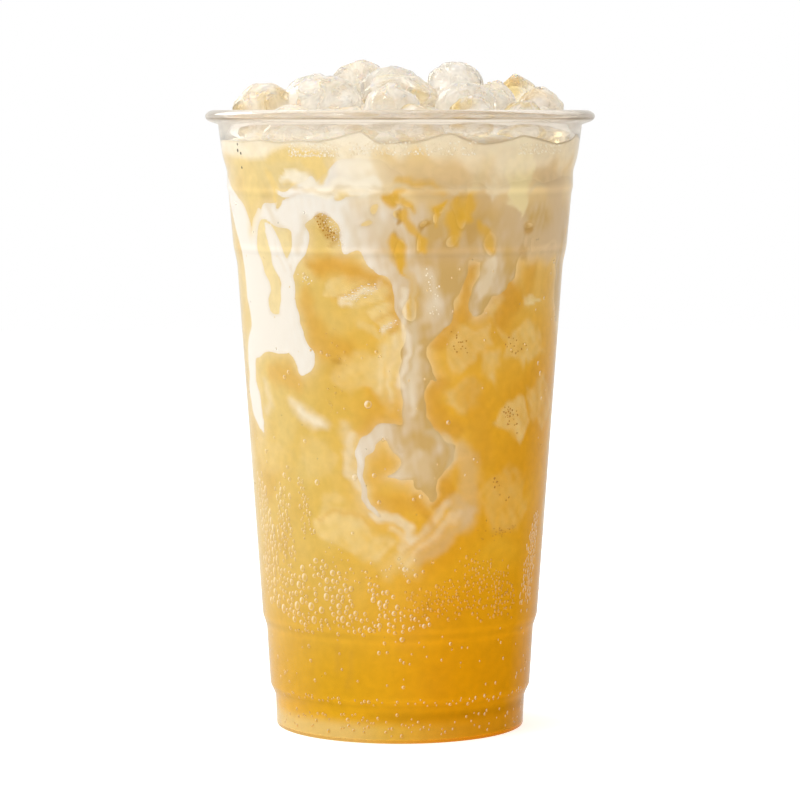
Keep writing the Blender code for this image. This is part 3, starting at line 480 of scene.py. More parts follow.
# The side that the photograph doesn't show: how many of each, and where.
BACK_STROKE_COUNT = 110
BACK_STROKE_ANGLES = (80, 275)
BACK_STROKE_HEIGHTS = (36, 146)
BACK_VEIL_Z = 137
BACK_WISP_Z = 124
BACK_PATCH_COUNT = 26
BACK_PATCH_ANGLES = (82, 276)
BACK_PATCH_HEIGHTS = (44, 128)
BACK_PATCH_SIZES = (3, 7)
BACK_HOLE_COUNT = 26
BACK_HOLE_ANGLES = (80, 268)
BACK_HOLE_HEIGHTS = (123, 136)
BACK_DRIPS = 7
BACK_DRIP_ANGLES = (104, 262)
BACK_DRIP_TOP = 121
BACK_DRIP_LENGTHS = (14, 22, 34, 48)
BACK_DRIP_WIDTHS = (2.2, 3.6)
BACK_DRIP_LEAN = 6
BACK_DRIP_SEED = 11
BACK_STROKE_SEED = 41
BACK_PATCH_SEED = 43

# Ice lumps that show, as (x, y, top above the rim, width, height, share of drink in them).
SHOWN_LUMPS = [
    (-33.5, -6, 6.8, 16.5, 13, 0.75), (-18.5, -14, 9.0, 18.5, 15, 0.05), (-10.3, 9, 12.6, 15.5, 14, 0.12),
    (0.0, -12, 9.7, 18.5, 14, 0.7), (13.8, -3, 12.2, 14.5, 13.5, 0.0), (23.0, -9, 7.8, 12, 12, 0.3),
    (29.0, 7, 9.0, 12, 12.5, 0.9), (35.5, -4, 5.4, 12.5, 11, 0.55), (17.5, -31, 3.5, 11, 9.5, 1.6),
    (4.0, -35, 1.6, 14, 12, 0.9), (30.0, -21, 2.4, 12.5, 11, 1.6), (-12.0, -33, 1.2, 14.5, 12, 0.7),
    (-26.5, -25, 1.0, 14.5, 12, 0.2),
]
ICE_BASE_Z = DRINK_LEVEL + 0.35
ICE_CORE_RADIUS = 38.0
ICE_CORE_EDGE_Z = 148.5
ICE_CORE_TOP_Z = 157.0
ICE_CORE_FOOT_Z = DRINK_LEVEL - 1
ICE_CORE_SIDES = 96
ICE_DOME_RISE = 7.5
ICE_FILL_SINK = 2.5
LUMP_REACH = 44.2
LUMPS_AT_WALL = 17
LUMP_TRIES = 2500
LUMP_SPACING = 0.77
LUMP_FLATS = 13
LUMP_FLAT_LIMITS = (0.78, 0.94)
LUMP_FLAT_SOFTNESS = 0.02
LUMP_DENTS = ((0.035, 0.5), (0.012, 0.16))
WALL_LUMP_HALVES = ((6.2, 7.4), (6.6, 7.8), (5.6, 6.6))
WALL_LUMP_LIFT = (2.5, 5.0)
FILL_LUMP_HALVES = ((6.2, 8.2), (6.2, 8.2), (5.6, 7.0))

# Bubble clusters on the wall: name, how many, smallest and largest width, stretch, tone, stroke.
CLUSTERS = [
    ("left_tall", 720, 0.9, 1.8, 1.7, "glint", [
        (-69.9, 62.9, 2.9), (-67.0, 53.5, 4.1), (-62.5, 43.8, 4.1)
    ]),
    ("left_tall_inner", 210, 0.7, 1.4, 1.4, "glint", [
        (-52.5, 62.5, 3.2), (-52.2, 52.0, 3.2), (-50.5, 45.6, 3.5)
    ]),
    ("left_chain", 70, 0.5, 1.0, 1.4, "glint", [
        (-41.0, 65.6, 1.0), (-39.9, 60.1, 1.8), (-37.7, 51.5, 2.2)
    ]),
    ("left_rings", 560, 1.0, 2.2, 1.1, "glint", [
        (-68.0, 45.0, 3.4), (-62.0, 37.0, 5.4), (-50.7, 36.5, 6.2), (-39.0, 34.7, 6.2)
    ]),
    ("left_rings_inner", 200, 1.0, 1.8, 1.1, "glint", [
        (-35.0, 42.4, 4.8), (-25.9, 37.8, 4.8), (-23.0, 32.9, 3.4)
    ]),
    ("middle_chain", 60, 0.8, 1.4, 1.2, "glint", [
        (-11.2, 39.2, 1.3), (-5.9, 36.3, 3.1), (-3.1, 29.3, 3.8)
    ]),
    ("middle_band", 150, 0.6, 1.3, 1.2, "glint", [
        (-46.5, 29.2, 2.6), (-16.5, 30.6, 3.1), (10.4, 31.8, 3.1)
    ]),
    ("middle_band_right", 70, 0.5, 1.1, 1.2, "soft_glint", [
        (10.4, 33.0, 3.1), (30.0, 33.5, 3.1), (53.7, 31.7, 2.6)
    ]),
    ("middle_fine", 170, 0.5, 1.0, 1.1, "soft_glint", [
        (5.1, 36.3, 2.9), (16.7, 36.6, 4.1), (30.0, 37.6, 4.1)
    ]),
    ("right_fine", 300, 0.5, 1.0, 1.9, "glint", [(69.0, 54.7, 1.5), (65.9, 46.0, 3.3), (63.2, 33.6, 3.6)]),
    ("right_small", 170, 0.5, 1.0, 1.2, "soft_glint", [
        (29.6, 44.4, 4.7), (41.0, 40.1, 5.9), (49.6, 34.6, 3.5)
    ]),
    ("upper_middle", 40, 0.4, 0.9, 1.1, "glint", [
        (-28.7, 49.4, 2.9), (-20.3, 42.2, 3.4), (8.2, 45.0, 2.4)
    ]),
    ("right_scratches", 34, 0.35, 0.7, 0.5, "speck", [
        (32.8, 52.0, 1.5), (44.1, 51.9, 2.0), (51.3, 53.0, 0.7)
    ]),
    ("specks_a", 14, 0.35, 0.6, 1.0, "speck", [(42.1, 98.4, 2.4), (51.0, 97.4, 2.2)]),
    ("specks_b", 30, 0.35, 0.6, 1.0, "speck", [(43.3, 82.8, 2.2), (47.7, 78.4, 2.4)]),
    ("specks_c", 9, 0.35, 0.7, 1.0, "speck", [(40.0, 65.1, 2.4), (46.0, 59.8, 2.4)]),
    ("specks_d", 16, 0.3, 0.5, 1.0, "speck", [(19.0, 101.1, 2.0), (23.8, 97.6, 2.4)]),
    ("specks_hollow", 46, 0.3, 0.55, 1.0, "speck", [(-27.3, 129.2, 1.5), (-23.1, 125.4, 1.5)]),
    ("glints_hollow", 70, 0.25, 0.5, 0.8, "white", [
        (-26.8, 130.0, 1.5), (-23.7, 127.8, 2.0), (-21.0, 124.4, 1.7)
    ]),
    ("glints_a", 110, 0.3, 0.85, 0.45, "white", [
        (-19.4, 109.9, 1.5), (-13.1, 111.9, 1.7), (-8.2, 113.4, 1.2)
    ]),
    ("glints_b", 26, 0.3, 0.7, 0.5, "white", [(-6.9, 102.5, 0.5), (-1.6, 104.7, 1.0)]),
    ("glints_c", 26, 0.3, 0.55, 1.1, "white", [(8.8, 116.8, 1.2), (12.8, 112.4, 1.7), (11.5, 105.6, 1.2)]),
    ("glints_d", 12, 0.3, 0.5, 1.1, "white", [(-36.3, 115.9, 1.2), (-33.0, 114.1, 1.2)]),
    ("drops_right", 12, 0.4, 0.7, 2.6, "white", [(87.1, 95.3, 0.7), (81.9, 82.9, 1.0)]),
    ("dots_left", 26, 0.3, 0.6, 1.2, "soft_glint", [
        (-25.5, 102.5, 2.0), (-20.0, 95.3, 2.4), (-26.7, 82.4, 2.4)
    ]),
]
SINGLE_BUBBLES = [
    (-11.6, 84.6, 2.1), (-10.2, 83.7, 1.6), (-17.2, 66.6, 1.6), (-9.7, 67.2, 1.2), (7.9, 62.0, 1.1),
    (-7.9, 60.6, 1.1), (5.2, 61.3, 0.9), (-18.6, 52.7, 0.9), (-33.1, 64.9, 1.6), (-47.9, 68.0, 1.0),
    (-50.0, 65.9, 1.5), (-47.1, 65.0, 1.2), (-38.0, 74.9, 1.1), (-44.4, 91.7, 1.2), (-46.7, 90.4, 1.2),
    (8.9, 90.8, 0.9), (3.1, 90.5, 0.8), (-8.4, 97.4, 0.9), (-29.1, 97.0, 0.9), (-26.7, 96.4, 0.8),
    (17.9, 80.1, 1.2), (62.1, 109.4, 1.0), (62.9, 90.7, 1.4), (60.7, 93.3, 1.2), (65.5, 84.3, 1.0),
    (-62.2, 71.2, 1.2), (-35.0, 116.0, 0.9), (1.8, 44.0, 1.3), (6.2, 42.5, 1.1), (3.4, 41.0, 1.1),
    (-12.0, 40.2, 1.2), (-10.8, 38.7, 1.2)
]
# Dark specks at the drink's edge: angle, height, width and stretch.
DARK_SPECKS = [
    (-62.7, 147.4, 0.7, 1.0), (-63.1, 145.9, 0.9, 1.1), (-61.2, 145.2, 0.8, 1.0), (-62.9, 141.7, 0.7, 1.0),
]
# Evenly scattered bubbles: angles, heights, how many, smallest and largest width.
SCATTER = [
    (-78, 78, 13, 28, 60, 0.5, 1.0), (-80, 280, 9.6, 11.2, 210, 0.45, 0.95),
    (-80, 280, 1.8, 7.5, 260, 0.5, 1.1), (-75, 75, 66, 122, 60, 0.35, 0.8),
    (80, 280, 13, 125, 160, 0.4, 1.0),
]
BACK_CLUSTERS = 18
# Foam of tiny bubbles along the drink's upper edge: angles, heights and how many.
FOAM_LINES = [
    (-37, -19, 144.6, 147.9, 190), (-16, 24, 145.0, 148.2, 220), (40, 62, 145.2, 147.6, 120),
]
BACK_FOAM_LINES = 9
BACK_FOAM_HEIGHTS = (145.0, 148.8)
FOAM_WIDTHS = (0.3, 0.6)
# A bubble's points as rings of (share of its width, share of its height), and how its painted glints lie.
BUBBLE_SIDES = 10
BUBBLE_RINGS = ((1.0, -0.35), (0.82, 0.45), (0.45, 0.85))
BUBBLE_STEEPNESS = 0.4
BUBBLE_SPACING = 0.45
GLINT_RISE = 0.07
LIT_FROM = 150
SOFT_GLINT = 0.32
# Tones that hide the drink's colour: the colour and its share.
FLAT_TONES = {"white": ((1.0, 0.97, 0.9), 0.6), "dark": ((0.06, 0.05, 0.03), 0.95)}

DROPLET_HEIGHTS = (14, 138)
DROPLET_RISE = 0.2
DROPLET_SEED = 71

# Lamps: name, place and width in metres, the setting that holds the power, and colour.
LAMPS = (
    ("key_left", (-0.75, -0.75, 0.75), 0.7, "key", (1.0, 0.97, 0.945)),
    ("fill_right", (0.9, -0.8, 0.55), 0.9, "fill", (1.0, 0.97, 0.93)),
    ("glint_left", (-0.5, -0.55, 0.95), 0.12, "glint", (1.0, 0.98, 0.95)),
    ("top_soft", (-0.1, 0.1, 1.0), 0.8, "top", (1.0, 0.98, 0.95)),
    ("rim_left", (-0.7, 0.6, 0.6), 0.5, "rim", (1.0, 0.97, 0.92)),
)
LAMP_AIM = (0, 0, 0.08)
# Ways in which the surround brightens, for light and for reflections, and its warmth.
LIGHT_LEAN = (-0.24, 0.14, 0.16)
MIRROR_LEAN = (-0.3, 0.75, 0.4)
LIGHT_WARMTH = (1.0, 0.975, 0.93, 1.0)
TABLE_SIDES = 96


def linear(hex_colour):
    """An sRGB hex colour as linear red, green and blue."""
    channels = [int(hex_colour[k : k + 2], 16) / 255 for k in (1, 3, 5)]
    return tuple(c / 12.92 if c <= 0.04045 else ((c + 0.055) / 1.055) ** 2.4 for c in channels)


def colour_property(name, description, hex_colour):
    return FloatVectorProperty(
        name=name, description=description, subtype="COLOR", size=3, min=0.0, max=1.0,
        default=linear(hex_colour),
    )


class SodaCupSettings(PropertyGroup):
    segments: IntProperty(name="Segments", description="Sides of the turned cup", default=192, min=24)
    wall: FloatProperty(
        name="Wall", description="Thickness of the plastic", default=WALL * MM, unit="LENGTH", precision=5
    )
    tint: colour_property("Tint", "What the plastic does to light through it", "#fdfaf3")
    rim_tint: colour_property("Rim tint", "Thicker plastic of the collar and rim", "#e9e2d8")
    # Painted shadow: the darker line under the rolled rim.
    crease_shadow_tint: colour_property("Crease tint", "The line where the rim is rolled over", "#b9a78f")
    roughness: FloatProperty(
        name="Roughness", description="Softness of the gloss", default=0.035, subtype="FACTOR"
    )


class SodaDrinkSettings(PropertyGroup):
    columns: IntProperty(name="Columns", description="Grid columns round the drink", default=400, min=48)
    row: FloatProperty(
        name="Row", description="Height of a grid row", default=0.66 * MM, unit="LENGTH", precision=5
    )
    gold: colour_property("Gold", "The drink half way down", "#e3b44c")
    amber: colour_property("Amber", "The drink near the foot", "#dfa41c")
    # Deep also serves as painted shade on the drink's right side.
    deep: colour_property("Deep", "Clear drink with no cream in it", "#d49b33")
    # Lemon also serves as painted light on the drink's left side and at the foot.
    lemon: colour_property("Lemon", "Pale drink near the top and the light", "#e9cf8a")
    icy: colour_property("Icy", "Sunk ice seen through the drink", "#e8cd8c")
    pale: colour_property("Pale", "Sunk ice close to the wall", "#ead9a8")
    veil: colour_property("Veil", "Cream mixed thinly into the drink", "#e9dabc")
    milk: colour_property("Milk", "Streaks of whiter cream and glints", "#f6efdf")
    # Shade is laid as painted shade in the cream's folds, on the upper ring's line and on the blob's far
    # side.
    shade: colour_property("Shade", "Folds of darker cream", "#d6c4a2")
    tan: colour_property("Tan", "Cream and drink half mixed", "#d4ba94")
    honey: colour_property("Honey", "Bright drink showing through the crown", "#dbab3e")
    # Umber also serves as painted shade in the fold on the crown's right.
    umber: colour_property("Umber", "Dark edges of the gaps in the crown", "#b98c3a")


class SodaCreamSettings(PropertyGroup):
    cell: FloatProperty(
        name="Cell", description="Grid spacing of the cream's plan", default=0.5 * MM, unit="LENGTH",
        precision=5,
    )
    depth: FloatProperty(
        name="Depth", description="How far the cream reaches in from the wall", default=2.0 * MM,
        unit="LENGTH", precision=5,
    )
    white: colour_property("White", "Thick cream", "#eeebe6")
    # Beige also serves as painted shade on the cream's right side, away from the key light.
    beige: colour_property("Beige", "Cream with drink mixed in", "#cba96c")


class SodaBubbleSettings(PropertyGroup):
    height: FloatProperty(
        name="Height", description="How far a bubble stands out of the drink", default=0.24 * MM,
        unit="LENGTH", precision=5,
    )
    # Painted highlight and shade on each bubble: the crescent on the lit side and the dark edge on the far
    # side.
    glint: colour_property("Glint", "The bright crescent on a bubble's lit side", "#fff0d6")
    shade: colour_property("Shade", "The dark edge on a bubble's far side", "#b98028")
    seed: IntProperty(name="Seed", description="Where the bubbles fall", default=5)


class SodaIceSettings(PropertyGroup):
    seed: IntProperty(name="Seed", description="Places and shapes of the lumps", default=24)
    detail: IntProperty(name="Detail", description="Subdivision of the lumps that show", default=4, min=2)
    tint: colour_property("Tint", "What the ice does to light through it", "#fefcf8")
    stain: colour_property("Stain", "Ice with drink run into it", "#f0d795")
    core: colour_property("Core", "Packed wet ice under the lumps", "#e4dccf")
    core_gold: colour_property("Core gold", "Drink that has run into the packed ice", "#e0b868")


class SodaDropletSettings(PropertyGroup):
    count: IntProperty(name="Count", description="Droplets on the outside", default=70, min=0)
    largest: FloatProperty(
        name="Largest", description="Width of the largest droplet", default=1.1 * MM, unit="LENGTH",
        precision=5,
    )


class SodaStageSettings(PropertyGroup):
    floor: FloatProperty(name="Floor", description="Radius of the floor", default=1.6, unit="LENGTH")
    key: FloatProperty(name="Key", description="Power of the soft light on the left", default=2.7)
    fill: FloatProperty(name="Fill", description="Power of the weak light on the right", default=2.3)
    glint: FloatProperty(name="Glint", description="Power of the small light on the left", default=1.0)
    top: FloatProperty(name="Top", description="Power of the soft light above", default=3.6)
    rim: FloatProperty(name="Rim", description="Power of the light behind", default=3.0)
    lens: FloatProperty(name="Lens", description="Focal length on a 36 mm sensor, in mm", default=153.0)
    distance: FloatProperty(
        name="Distance", description="Camera to the cup's axis, level", default=0.859, unit="LENGTH"
    )
    height: FloatProperty(
        name="Height", description="Camera above the table", default=0.15425, unit="LENGTH", precision=5
    )
    tilt: FloatProperty(
        name="Tilt", description="Camera's tilt below level", default=radians(4.775), subtype="ANGLE"
    )


def add_node(tree, kind, **settings):
    """Adds a node. A setting is a property, an input's value, or (node, output) to link from.

    Underscores in an input's name stand for spaces, and a trailing number picks an input.
    """
    node = tree.nodes.new(kind)
    for name, value in settings.items():
        if hasattr(node, name) and name not in node.inputs:
            setattr(node, name, value)
            continue
        words = name.replace("_", " ")
        last = words.rsplit(" ", 1)[-1]
        socket = node.inputs[int(last)] if last.isdigit() else node.inputs[words]
        if isinstance(value, tuple) and len(value) == 2 and hasattr(value[0], "outputs"):
            tree.links.new(value[0].outputs[value[1]], socket)
        elif isinstance(value, tuple) and len(value) == 3 and socket.type == "RGBA":
            socket.default_value = (*value, 1.0)
        else:
            socket.default_value = value
    return node


def new_material(name):
    """An empty node material and its output node."""
    material = bpy.data.materials.new(name)
    material.use_nodes = True
    tree = material.node_tree
    tree.nodes.clear()
    return material, tree, tree.nodes.new("ShaderNodeOutputMaterial")


def surfaced(material, tree, output, shader):
    """Links a shader to the output and gives back the material."""
    tree.links.new(shader.outputs[0], output.inputs["Surface"])
    return material


def object_place(tree):
    return (add_node(tree, "ShaderNodeTexCoord"), "Object")


def lamp_clear(tree, shader, colour):
    """Mixes in a Transparent shader for shadow and diffuse rays, so that light reaches what is inside."""
    path = add_node(tree, "ShaderNodeLightPath")
    either = add_node(
        tree, "ShaderNodeMath", operation="MAXIMUM", in_0=(path, "Is Shadow Ray"),
        in_1=(path, "Is Diffuse Ray"),
    )
    clear = add_node(tree, "ShaderNodeBsdfTransparent", Color=colour)
    return add_node(tree, "ShaderNodeMixShader", in_0=(either, "Value"), in_1=(shader, 0), in_2=(clear, 0))


def cup_plastic(settings):
    """Clear PET, thermoformed: glossy and nearly colourless, a little hazed where it was drawn."""
    material, tree, output = new_material("clear_pet")
    place = object_place(tree)
    drawn = add_node(tree, "ShaderNodeTexNoise", Vector=place, Scale=1 / (DRAWN_SIZE * MM), Detail=3.0)
    ripple = add_node(tree, "ShaderNodeBump", Strength=0.06, Distance=0.2 * MM, Height=(drawn, 0))
    height = add_node(tree, "ShaderNodeSeparateXYZ", Vector=place)
    haze = add_node(
        tree, "ShaderNodeMapRange", interpolation_type="SMOOTHSTEP", Value=(height, "Z"),
        From_Min=HAZE_HEIGHTS[0] * MM, From_Max=HAZE_HEIGHTS[1] * MM, To_Min=1.0, To_Max=0.8,
    )
    thick = add_node(
        tree, "ShaderNodeMapRange", interpolation_type="SMOOTHSTEP", Value=(height, "Z"),
        From_Min=THICK_HEIGHTS[0] * MM, From_Max=THICK_HEIGHTS[1] * MM, To_Min=0.0, To_Max=1.0,
    )
    colour = add_node(
        tree, "ShaderNodeMix", data_type="RGBA", in_0=(thick, 0), in_6=(*settings.tint, 1.0),
        in_7=(*settings.rim_tint, 1.0),
    )
    # Painted shadow: a thin darker band under the rolled rim.
    crease = add_node(
        tree, "ShaderNodeMath", operation="COMPARE", in_0=(height, "Z"), in_1=CREASE_HEIGHT * MM,
        in_2=CREASE_HALF * MM,
    )
    colour = add_node(
        tree, "ShaderNodeMix", data_type="RGBA", in_0=(crease, 0), in_6=(colour, 2),
        in_7=(*settings.crease_shadow_tint, 1.0),
    )
    shader = add_node(
        tree, "ShaderNodeBsdfPrincipled", Base_Color=(colour, 2), Roughness=settings.roughness,
        IOR=1.5, Transmission_Weight=(haze, 0), Normal=(ripple, 0),
    )
    return surfaced(material, tree, output, lamp_clear(tree, shader, PLASTIC_CLEAR))


def drink_liquid():
    """Cloudy pineapple soda: pulp hides its depth, so the sunk ice and swirls are in its paint.

    The wall in front of it carries the gloss.
    """
    material, tree, output = new_material("cloudy_soda")
    paint = add_node(tree, "ShaderNodeVertexColor", layer_name="tint")
    pulp = add_node(
        tree, "ShaderNodeTexNoise", Vector=object_place(tree), Scale=1 / (PULP_SIZE * MM), Detail=4.0
    )
    spread = add_node(
        tree, "ShaderNodeMapRange", Value=(pulp, 0), From_Min=0.3, From_Max=0.7, To_Min=0.95, To_Max=1.05
    )
    colour = add_node(
        tree, "ShaderNodeVectorMath", operation="SCALE", in_0=(paint, "Color"), Scale=(spread, 0)
    )
    shader = add_node(
        tree, "ShaderNodeBsdfPrincipled", Base_Color=(colour, 0), Roughness=0.35, IOR=1.33,
        Specular_IOR_Level=0.02,
    )
    return surfaced(material, tree, output, shader)


def cream_liquid():
    """Fresh cream: opaque and matt, as the wall in front of it carries the gloss."""
    material, tree, output = new_material("fresh_cream")
    paint = add_node(tree, "ShaderNodeVertexColor", layer_name="tint")
    shader = add_node(
        tree, "ShaderNodeBsdfPrincipled", Base_Color=(paint, 0), Roughness=0.4, IOR=1.35,
        Specular_IOR_Level=0.02,
    )
    return surfaced(material, tree, output, shader)


def bubble_skin():
    """Gas bubbles on the wall: a bright crescent on the lit side, painted, with a soft gloss."""
    material, tree, output = new_material("gas_bubbles")
    paint = add_node(tree, "ShaderNodeVertexColor", layer_name="tint")
    shader = add_node(
        tree, "ShaderNodeBsdfPrincipled", Base_Color=(paint, 0), Roughness=0.25, IOR=1.33,
        Specular_IOR_Level=0.3,
    )
    return surfaced(material, tree, output, shader)


def clear_ice():
    """Wet clear ice: smooth melted faces, with cloudy patches of trapped air inside."""
    material, tree, output = new_material("wet_ice")
    place = object_place(tree)
    melt = add_node(tree, "ShaderNodeTexNoise", Vector=place, Scale=1 / (MELT_SIZE * MM), Detail=2.0)
    dents = add_node(tree, "ShaderNodeBump", Strength=0.3, Distance=0.5 * MM, Height=(melt, 0))
    frost = add_node(
        tree, "ShaderNodeTexNoise", Vector=place, Scale=1 / (FROST_SIZE * MM), Detail=5.0, Distortion=0.8
    )
    clear = add_node(
        tree, "ShaderNodeMapRange", Value=(frost, 0), From_Min=0.4, From_Max=0.66, To_Min=0.9, To_Max=0.45
    )
    paint = add_node(tree, "ShaderNodeVertexColor", layer_name="tint")
    shader = add_node(
        tree, "ShaderNodeBsdfPrincipled", Base_Color=(paint, 0), Roughness=0.06, IOR=1.31,
        Transmission_Weight=(clear, 0), Normal=(dents, 0),
    )
    return surfaced(material, tree, output, lamp_clear(tree, shader, ICE_CLEAR))


def packed_ice(settings):
    """Packed wet ice under the lumps: milky, with drink run into it here and there."""
    material, tree, output = new_material("packed_ice")
    place = object_place(tree)
    seep = add_node(tree, "ShaderNodeTexNoise", Vector=place, Scale=1 / (SEEP_SIZE * MM), Detail=4.0)
    ramp = add_node(
        tree, "ShaderNodeMapRange", Value=(seep, 0), From_Min=0.52, From_Max=0.7, To_Min=0.0, To_Max=0.55
    )
    colour = add_node(
        tree, "ShaderNodeMix", data_type="RGBA", in_0=(ramp, 0), in_6=(*settings.core, 1.0),
        in_7=(*settings.core_gold, 1.0),
    )
    grain = add_node(tree, "ShaderNodeTexNoise", Vector=place, Scale=1 / (GRAIN_SIZE * MM), Detail=3.0)
    relief = add_node(tree, "ShaderNodeBump", Strength=0.6, Distance=0.8 * MM, Height=(grain, 0))
    shader = add_node(
        tree, "ShaderNodeBsdfPrincipled", Base_Color=(colour, 2), Roughness=0.2, IOR=1.31,
        Subsurface_Weight=1.0, Subsurface_Radius=(1.0, 0.8, 0.5), Subsurface_Scale=4 * MM,
        Normal=(relief, 0),
    )
    return surfaced(material, tree, output, shader)


def clear_water():
    """Condensation: clear water drops on the outside of the cup."""
    material, tree, output = new_material("condensed_water")
    shader = add_node(
        tree, "ShaderNodeBsdfPrincipled", Base_Color=(1.0, 1.0, 1.0), Roughness=0.0, IOR=1.33,
        Transmission_Weight=1.0,
    )
    return surfaced(material, tree, output, lamp_clear(tree, shader, WATER_CLEAR))


def rounded(corners):
    """Points of an outline whose turns are rounded by each corner's third number."""
    points = [corners[0][:2]]
    for before, (r, z, turn), after in zip(corners, corners[1:], corners[2:]):
        here = np.array([r, z])
        back = np.array(before[:2]) - here
        ahead = np.array(after[:2]) - here
        reach = min(turn, 0.45 * np.hypot(*back), 0.45 * np.hypot(*ahead))
        start = here + back / np.hypot(*back) * reach
        end = here + ahead / np.hypot(*ahead) * reach
        for t in np.linspace(0, 1, CORNER_STEPS):
            spot = (1 - t) ** 2 * start + 2 * t * (1 - t) * here + t**2 * end
            points.append((float(spot[0]), float(spot[1])))
    points.append(corners[-1][:2])
    return points


def arc(centre, radii, start, end, steps):
    """Points of an elliptical arc in the outline's plane, angles in degrees from +R."""
    turns = [radians(start + (end - start) * k / steps) for k in range(steps + 1)]
    return [(centre[0] + radii[0] * cos(t), centre[1] + radii[1] * sin(t)) for t in turns]


def wall_corners(inset=0.0):
    """The cup's side from the collar to the foot, moved in by inset."""
    corners = [
        COLLAR_TOP, COLLAR_LOW, BELT_TOP, BELT_LOW, UPPER_RING, SHOULDER, TAPER_TOP, WAIST, BAND_TOP,
        LEDGE, FOOT_TOP,
    ]
    return [(r - inset, z, turn) for r, z, turn in corners]


def foot_corners(inset, lift):
    """The foot from its outer side to the middle underneath, moved in and up."""
    return [
        (FOOT_RADIUS - inset, FOOT_CORNER + lift, 0.3),
        (FOOT_RADIUS - inset, lift, FOOT_CORNER - 0.5 * inset),
        (FOOT_RING_INNER + 0.5 * inset, lift, 0.8),
        (PUNT_RADIUS + 0.5 * inset, PUNT_HEIGHT + lift, 0.8),
        (0.0, PUNT_HEIGHT + lift, 0.0),
    ]


def side_outline(inset, lift):
    """Rounded points down the side and under the foot, at an inset from the outside."""
    return rounded(wall_corners(inset) + foot_corners(inset, lift))


def radius_table():
    """Outer radius of the wall at rising heights, for interpolation."""
    side = [p for p in side_outline(0.0, 0.0) if p[0] > FOOT_RADIUS - FOOT_CORNER]
    side = sorted(side, key=lambda p: p[1])
    return np.array([p[1] for p in side]), np.array([p[0] for p in side])


WALL_HEIGHTS, WALL_RADII = radius_table()


def wall_radius(height, inset=0.0):
    return np.interp(height, WALL_HEIGHTS, WALL_RADII) - inset


def on_wall(angle, height, inset):
    """Points in mm on the wall, at an inset from its outside."""
    turn = np.radians(np.asarray(angle, dtype=float) - 90)
    radius = wall_radius(height, inset)
    return np.stack([radius * np.cos(turn), radius * np.sin(turn), np.asarray(height, dtype=float)], -1)


def smooth_step(low, high, value):
    t = np.clip((value - low) / (high - low), 0, 1)
    return t * t * (3 - 2 * t)


def between(value, ends):
    """Smooth share of the way from the first end to the last, or 1 where there are no ends."""
    return smooth_step(*ends, value) if ends else 1.0


def band(value, level, half):
    """A soft bell: 1 at a level, and little left at twice the half width from it."""
    return np.exp(-(((value - level) / half) ** 2))


def waves(spots, size, seed, count=12):
    """Smooth noise round 0, of about unit spread, whose lumps are about size mm wide."""
    draw = Random(seed)
    total = np.zeros(spots.shape[:-1])
    for _ in range(count):
        toward = Vector([draw.gauss(0, 1) for _ in range(3)]).normalized()
        length = 2 * size * draw.uniform(0.7, 1.5)
        total += np.sin(2 * pi * (spots @ np.array(toward)) / length + draw.uniform(0, 2 * pi))
    return total / (count / 2) ** 0.5


def drifted(angle, height, noises):
    """Wall points moved a little by noise, so that what is drawn there gets natural edges."""
    spots = on_wall(angle, height, WALL)
    drift = sum(reach * waves(spots, size, seed) for reach, size, seed, _ in noises)
    sway = sum(reach * waves(spots, size, seed) for reach, size, _, seed in noises)
    return angle + np.degrees(drift / wall_radius(height, WALL)), height + sway


def stroke_inside(angle, height, points):
    """How far inside one stroke each wall point lies, in mm, negative outside."""
    radius = wall_radius(height, WALL)
    best = np.full(angle.shape, -1e3)
    for (a0, z0, w0), (a1, z1, w1) in zip(points, points[1:]):
        middle = (a0 + a1) / 2
        x = np.radians((angle - middle + 180) % 360 - 180) * radius
        x0 = np.radians(a0 - middle) * radius
        x1 = np.radians(a1 - middle) * radius
        run = (x1 - x0) ** 2 + (z1 - z0) ** 2
        along = np.clip(((x - x0) * (x1 - x0) + (height - z0) * (z1 - z0)) / run, 0, 1)
        apart = np.hypot(x - x0 - along * (x1 - x0), height - z0 - along * (z1 - z0))
        best = np.maximum(best, w0 + along * (w1 - w0) - apart)
    return best


def joined(first, second, blend):
    """The larger of two fields, with a soft fillet where they meet."""
    share = np.clip(0.5 + 0.5 * (first - second) / blend, 0, 1)
    return first * share + second * (1 - share) + blend * share * (1 - share)


def spot_inside(angle, height, spot):
    """Nearness to an oval spot: 1 in its middle, 0 on its edge, negative outside."""
    a, z, across, tall = spot
    x = np.radians((angle - a + 180) % 360 - 180) * wall_radius(z, WALL)
    return 1 - np.hypot(x / across, (height - z) / tall)


def back_drips():
    """Cream strokes down the side that the photograph doesn't show."""
    draw = Random(BACK_DRIP_SEED)
    first, last = BACK_DRIP_ANGLES
    drips = []
    for k in range(BACK_DRIPS):
        angle = first + (last - first) * k / (BACK_DRIPS - 1) + draw.uniform(-5, 5)
        length = draw.choice(BACK_DRIP_LENGTHS) + draw.uniform(-3, 3)
        width = draw.uniform(*BACK_DRIP_WIDTHS)
        lean = draw.uniform(-BACK_DRIP_LEAN, BACK_DRIP_LEAN)
        foot = BACK_DRIP_TOP - length
        drips.append([
            (angle, BACK_DRIP_TOP + 6, width + 2), (angle + 0.3 * lean, BACK_DRIP_TOP, width),
            (angle + 0.7 * lean, BACK_DRIP_TOP - 0.6 * length, 0.7 * width),
            (angle + lean, foot, width), (angle + lean * 1.2, foot - width, 0.3 * width),
        ])
    return drips


def cream_inside(angle, height):
    """How far inside the poured cream each wall point lies, in mm."""
    angle, height = drifted(angle, height, CREAM_DRIFT)
    field = np.full(angle.shape, -50.0)
    for points in [*CROWN.values(), *STREAMS.values(), *back_drips()]:
        field = joined(field, stroke_inside(angle, height, points), CREAM_FILLET)
    for spot in [*HOLES, *back_holes()]:
        size = (spot[2] * spot[3]) ** 0.5
        field = -joined(-field, size * spot_inside(angle, height, spot), HOLE_FILLET)
    return field


